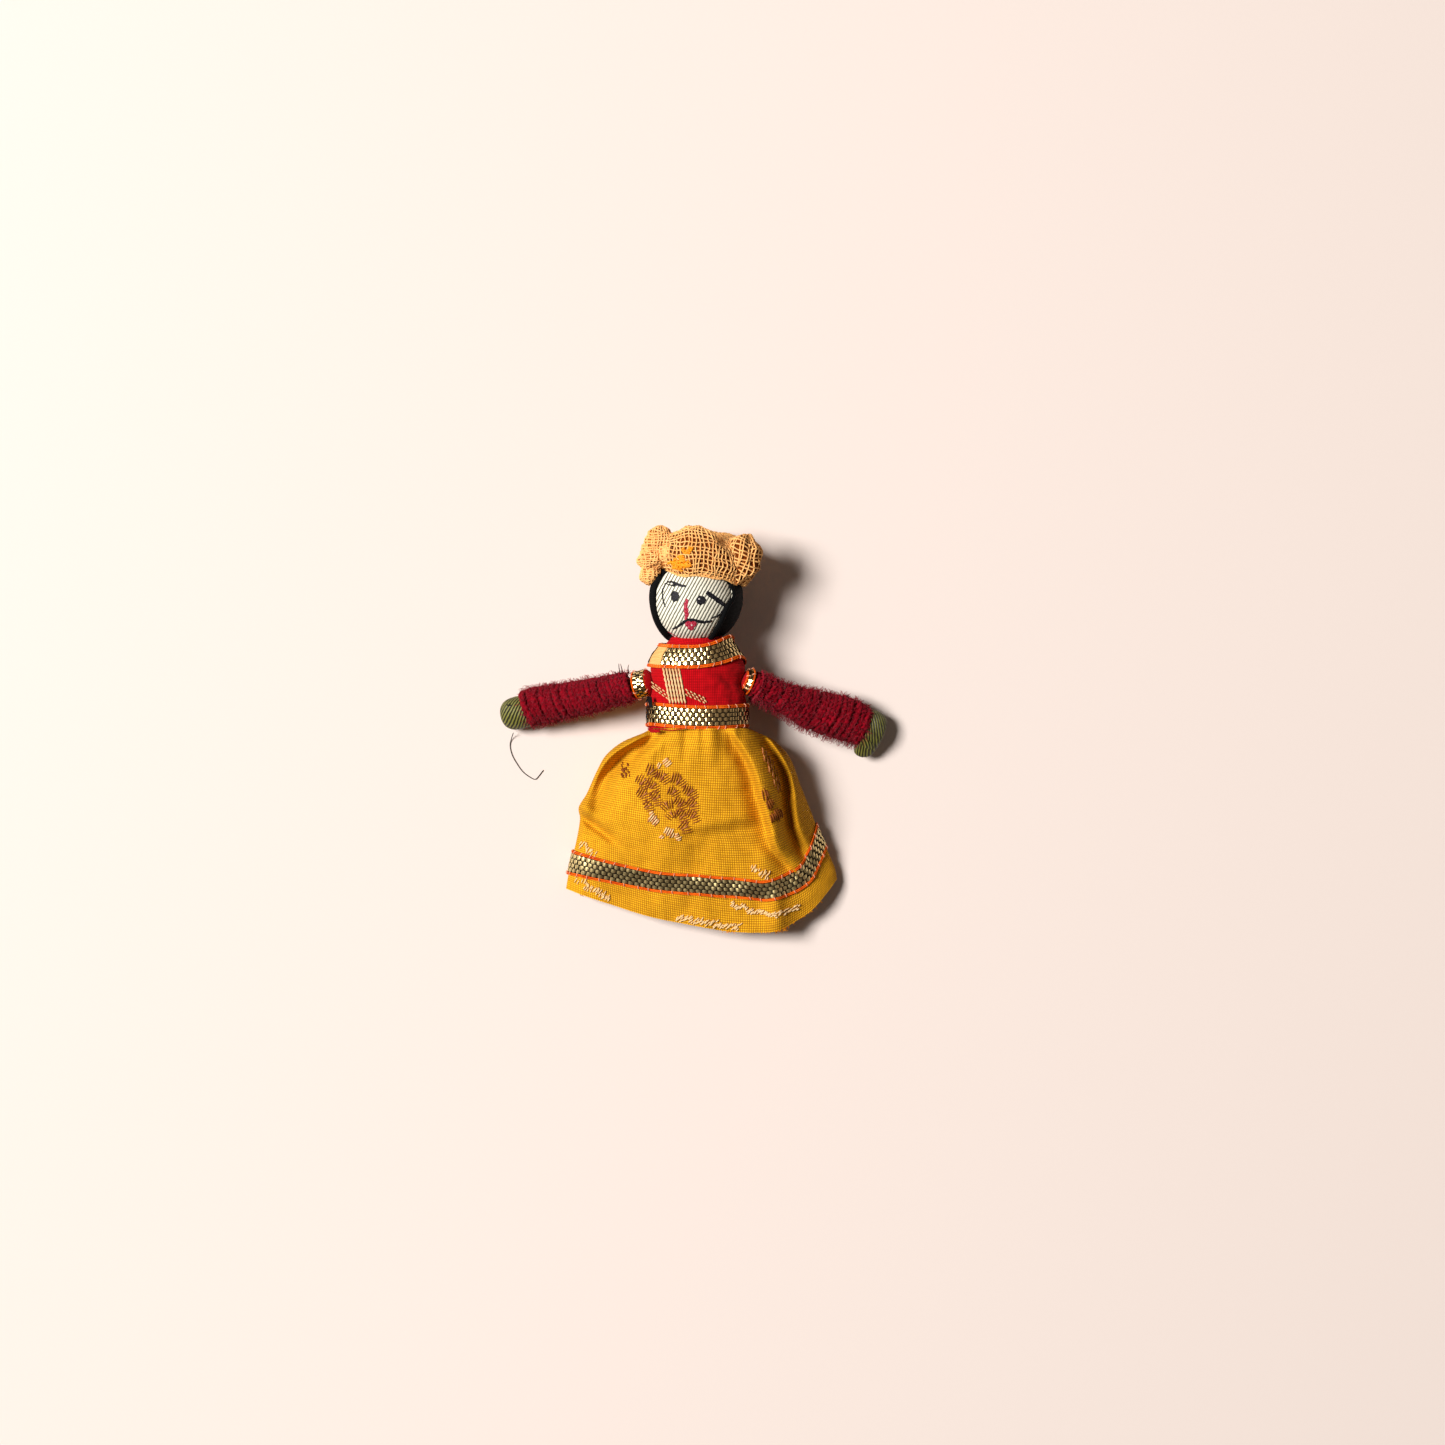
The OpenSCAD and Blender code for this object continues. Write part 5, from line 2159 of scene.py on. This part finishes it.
        def lay(run: float, off: float, height: float) -> Vector:
            """Put a point on the ribbon, its join at the back."""
            turn = along(table, run % girth) % 1.0
            across = self.shares(turn)[0]
            slope = self.top_y - along(self.hem, across)
            slant = 1 + 0.16 * abs(across) ** 4
            point = self.lifted(turn, along(line, turn) - off * slant / slope, 0.12 + height)
            point.z = max(point.z, 0.25)
            return point

        GiltRibbon(
            "skirt_trim", "skirt", lay, girth - 0.05, ("skirt_trim",), rows=4, pitch=0.98, cord=0.7,
            stitch_step=3.1, swing=0.13, metal=RUBBED_GILT
        ).build()

    def floats(
        self, bm: bmesh.types.BMesh, middle: tuple[float, float], size: tuple[float, float], lean: float,
        chance: random.Random, gap: float = 0.46, thick: float = 0.17,
    ) -> None:
        """Lay one petal of brocade threads on the cloth, side by side.

        Args:
            bm: The threads' mesh.
            middle: The petal's middle across and along the doll.
            size: Half its width across the threads, and half its length along them.
            lean: Angle of the threads, in degrees.
            chance: What varies them.
            gap: Distance between threads.
            thick: Radius of a thread.
        """
        a = math.radians(lean)
        ahead, beside = Vector((math.cos(a), math.sin(a))), Vector((-math.sin(a), math.cos(a)))
        count = max(1, int(2 * size[0] / gap))
        for i in range(count):
            off = (i - (count - 1) / 2) * gap
            reach = size[1] * math.sqrt(
                max(1 - (off / (size[0] + 0.2)) ** 2, 0.08)
            ) * chance.uniform(0.75, 1.1)
            slide = chance.uniform(-0.25, 0.25)
            points = []
            for k in range(6):
                at = Vector(middle) + beside * off + ahead * (slide + reach * (2 * k / 5 - 1))
                points.append(self.front(at.x, at.y, 0.02 + 0.26 * math.sin(math.pi * k / 5)))
            add_thread(bm, points, thick * chance.uniform(0.85, 1.15))

    def build_flowers(self) -> None:
        """Lay the brown flower, the stretched one on the +X fold, and the pale dashes at the hem."""
        chance = random.Random(77)
        brown, copper, pale = bmesh.new(), bmesh.new(), bmesh.new()
        petals = (
            (-10.9, -9.9, 1.5, 1.7, 48), (-8.2, -11.4, 1.7, 1.8, 52), (-13.2, -12.7, 1.6, 1.7, 40),
            (-10.6, -13.6, 1.8, 1.7, 44), (-4.2, -12.2, 1.8, 1.8, 50), (-12.9, -15.9, 1.9, 1.8, 36),
            (-9.9, -16.7, 1.7, 1.5, 30), (-5.6, -15.2, 1.4, 1.5, 56), (-1.4, -15.2, 1.9, 1.9, 46),
            (-7.2, -18.4, 1.5, 1.6, 120), (-3.8, -18.1, 1.6, 1.7, 40), (-0.7, -18.3, 1.6, 1.7, 34),
            (-0.6, -21.0, 1.6, 1.6, 40), (-3.4, -21.2, 1.7, 1.7, 32), (-5.8, -20.9, 1.2, 1.4, 128),
            (-2.7, -23.9, 1.4, 1.8, 30), (-11.8, -18.6, 1.2, 1.4, 36),
        )
        for x, y, wide, reach, lean in petals:
            tilt = lean + chance.uniform(-6, 6)
            a = math.radians(tilt)
            for side in (-1, 1):
                spot = (x - side * 0.52 * wide * math.sin(a), y + side * 0.52 * wide * math.cos(a))
                self.floats(brown, spot, (wide * 0.76, reach * 1.02), tilt + 20 * side, chance, 0.6, 0.115)
            self.floats(copper, (x, y), (0.3, reach * 0.8), tilt, chance, 0.5, 0.12)
        for x, y, wide, reach, lean in (
            (-7.2, -7.8, 1.3, 1.3, 40), (-9.2, -8.6, 0.8, 0.9, 60), (-10.5, -22.1, 1.5, 1.5, 50),
            (-10.9, -20.4, 0.7, 0.9, 30), (-6.6, -25.2, 1.4, 1.4, 62), (-4.6, -26.3, 1.1, 0.9, 20),
            (-8.6, -26.4, 0.7, 0.6, 40)
        ):
            self.floats(pale, (x, y), (wide, reach), lean, chance, 0.55)
            self.floats(copper, (x, y), (wide, reach), lean + 8, chance, 1.0)
        for x, y, reach in (
            (16.4, -6.6, 2.4), (17.3, -7.6, 3.6), (18.2, -8.8, 4.2), (19.1, -10.2, 4.0), (20.0, -12.0, 3.4)
        ):
            for step in range(int(reach)):
                self.floats(
                    copper, (x + 0.35 * step, y - 1.9 * step + 2), (0.42, 0.95), 96, chance, 0.5, 0.15
                )
                self.floats(
                    brown, (x + 0.35 * step + 0.2, y - 1.9 * step + 1.2), (0.3, 0.7), 96, chance, 0.6, 0.13
                )
        for x, y, wide, reach, lean in (
            (16.9, -15.8, 1.1, 1.9, 104), (18.3, -18.0, 1.0, 1.5, 110), (20.4, -20.6, 1.1, 2.2, 108),
            (19.0, -21.6, 0.8, 1.3, 104)
        ):
            self.floats(brown, (x, y), (wide, reach), lean, chance, 0.5)
        for _ in range(30):
            x, y = -17.4 + chance.uniform(-1.1, 1.1), -9.9 + chance.uniform(-1.7, 1.7)
            self.floats(brown, (x, y), (0.2, 0.4), 100, chance, 0.5, 0.11)
        dashes = (
            (-29.3, -28.4, -25.2, -31.2, 18, 60), (-28.0, -38.9, -21.6, -42.0, 36, 62),
            (8.6, -43.6, 20.0, -46.3, 50, 40), (20.0, -46.0, 26.0, -44.0, 22, 34),
            (-5.0, -46.7, 11.0, -49.3, 72, 40), (13.8, -34.4, 18.2, -36.2, 22, 70),
            (-30.6, -36.9, -27.5, -38.6, 6, 60)
        )
        for x0, y0, x1, y1, count, lean in dashes:
            for i in range(count):
                share = (i + 0.5) / count
                x = x0 + (x1 - x0) * share + chance.uniform(-0.35, 0.35)
                y = y0 + (y1 - y0) * share + chance.uniform(-0.75, 0.75)
                self.floats(
                    pale, (x, y), (0.2, chance.uniform(0.5, 0.85)), lean + chance.uniform(-14, 14), chance,
                    0.5, 0.15
                )
        for name, bm, finish in (
            ("skirt_brown_flowers", brown, BROWN_FLOAT), ("skirt_copper_flowers", copper, COPPER_FLOAT),
            ("skirt_pale_dashes", pale, PALE_FLOAT),
        ):
            piece = make_piece(bm, name, "", finish)
            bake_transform(piece)

    def build_fray(self) -> None:
        """Let a few threads hang from the cut edge at the lower +X corner."""
        bm = bmesh.new()
        chance = random.Random(3)
        for _ in range(46):
            spot = chance.choice((0.5, 0.58, 0.6, 0.62, 0.75, 0.85, -0.9, 0.2))
            across = spot + chance.uniform(-0.06, 0.06)
            turn = 0.25 + math.acos(min(max(across, -1), 1)) / math.tau
            start = self.skin(turn, 0.995)
            reach = chance.uniform(0.4, 1.5 if spot in (0.58, 0.6, 0.62) else 0.8)
            points = [
                start + Vector((
                    chance.uniform(-0.3, 0.3) * k, -reach * k / 3,
                    -min(0.35 * k, start.z - 0.4) * chance.random()
                ))
                for k in range(4)
            ]
            add_thread(bm, smooth_path(points, 7), 0.09, sides=4, taper=0.5)
        make_piece(bm, "skirt_frayed_threads", "skirt", SKIRT_FRAY)


# ---- Table, light and camera ----


@dataclass
class Studio:
    """The pale table, the lamp at the doll's -X side, its weak fill, and the camera overhead.

    Attributes:
        look_at: Where the camera looks, across and along the doll, in millimetres.
        height: How high the camera is over the middle of the doll, in millimetres.
        lens: The camera's focal length on a 36 mm sensor.
        lamp_distance: Distance of the key lamp.
        lamp_rise: Its angle over the table.
        lamp_turn: Its angle from -X towards the turban.
        lamp_size: Its width.
        lamp_power: Its power.
    """

    look_at: tuple[float, float] = (6.6, 2.1)
    height: float = 852.0
    lens: float = 85.0
    lamp_distance: float = 2600.0
    lamp_rise: float = 54.5
    lamp_turn: float = 15.0
    lamp_size: float = 840.0
    lamp_power: float = 112.0

    def build(self) -> None:
        """Build the table, the lights and the camera."""
        bm = bmesh.new()
        bmesh.ops.create_grid(bm, x_segments=4, y_segments=4, size=0.9)
        mesh = bpy.data.meshes.new("table")
        bm.to_mesh(mesh)
        bm.free()
        mesh.materials.append(TABLE.material())
        table = bpy.data.objects.new("table", mesh)
        bpy.context.scene.collection.objects.link(table)
        table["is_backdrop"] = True
        self.add_lamp(
            "key_lamp", self.lamp_turn, self.lamp_rise, self.lamp_distance, self.lamp_size, self.lamp_power,
            "#fffaf7"
        )
        self.add_lamp("fill_lamp", 165.0, 62.0, 1100.0, 900.0, 0.5, "#ffe6d8")
        world = bpy.data.worlds.new("studio_air")
        world.use_nodes = True
        world.node_tree.nodes["Background"].inputs["Color"].default_value = linear("#f4dccc")
        world.node_tree.nodes["Background"].inputs["Strength"].default_value = 0.07
        bpy.context.scene.world = world
        bpy.context.scene.view_settings.view_transform = "Standard"
        camera_data = bpy.data.cameras.new("camera")
        camera_data.lens = self.lens
        camera_data.sensor_width = 36.0
        camera_data.clip_start, camera_data.clip_end = 0.05, 10.0
        camera = bpy.data.objects.new("camera", camera_data)
        camera.location = (self.look_at[0] * MM, self.look_at[1] * MM, (self.height + 14) * MM)
        bpy.context.scene.collection.objects.link(camera)
        bpy.context.scene.camera = camera

    def add_lamp(
        self, name: str, turn: float, rise: float, far: float, size: float, power: float, colour: str
    ) -> None:
        """Add one square lamp that faces the doll.

        Args:
            name: Its name.
            turn: Its angle from -X towards the turban.
            rise: Its angle over the table.
            far: Its distance.
            size: Its width.
            power: Its power.
            colour: Its colour.
        """
        data = bpy.data.lights.new(name, "AREA")
        data.size, data.energy, data.color = size * MM, power, linear(colour)[:3]
        lamp = bpy.data.objects.new(name, data)
        a, b = math.radians(180 - turn), math.radians(rise)
        way = Vector((math.cos(a) * math.cos(b), math.sin(a) * math.cos(b), math.sin(b)))
        lamp.location = way * far * MM
        lamp.rotation_mode = "QUATERNION"
        lamp.rotation_quaternion = (-way).to_track_quat("-Z", "Y")
        bpy.context.scene.collection.objects.link(lamp)


def dress_solids() -> None:
    """Give the design solids that stay in sight their own finishes."""
    finishes = {
        "core_stick": SPLIT_BAMBOO, "head_ball": TURNED_MANGO, "shoulder_knot_left": KNOT_WOOL,
        "shoulder_knot_right": KNOT_WOOL, "shoulder_thread_left": TIE_THREAD,
        "shoulder_thread_right": TIE_THREAD, "gather_thread": GATHER_SOLID,
    }
    for name, finish in finishes.items():
        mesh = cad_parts[name].data
        mesh.materials.clear()
        mesh.materials.append(finish.material())
        LOG.info("%s: %s", name, finish.name)


def main() -> None:
    """Build the doll from its trunk outwards, then the table and lights."""
    logging.basicConfig(level=logging.INFO, format="%(name)s: %(message)s")
    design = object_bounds()
    dress_solids()
    head = Head()
    Trunk().build()
    head.build()
    Turban(head).build()
    Arm(
        Side.LEFT, (-14.0, 11.6, AXIS_Z), 13.0,
        half_wide=((2.0, 3.4), (4.5, 3.7), (15.7, 4.25), (25.0, 4.6), (29.6, 4.7), (31.2, 4.1)),
        shift=((0.0, 0.0), (15.0, 0.1), (30.0, 0.75)),
    ).build()
    Arm(
        Side.RIGHT, (14.8, 11.6, AXIS_Z), 20.5,
        half_wide=((0.0, 3.1), (2.0, 3.4), (8.6, 3.7), (15.6, 4.85), (25.6, 5.4), (29.8, 4.9), (31.2, 4.2)),
        shift=((0.0, 0.0), (5.0, -0.5), (15.6, -0.8), (25.6, 0.0), (30.0, -0.2)),
        wool_from=-1.7, band_at=-2.5, cap_from=-3.15,
    ).build()
    Skirt().build()
    Studio().build()
    sizes = {
        name: [[float(c) for c in corner] for corner in box]
        for name, box in (("design", design), ("doll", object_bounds()))
    }
    LOG.info("sizes: %s", sizes)


if __name__ == "__main__":
    main()
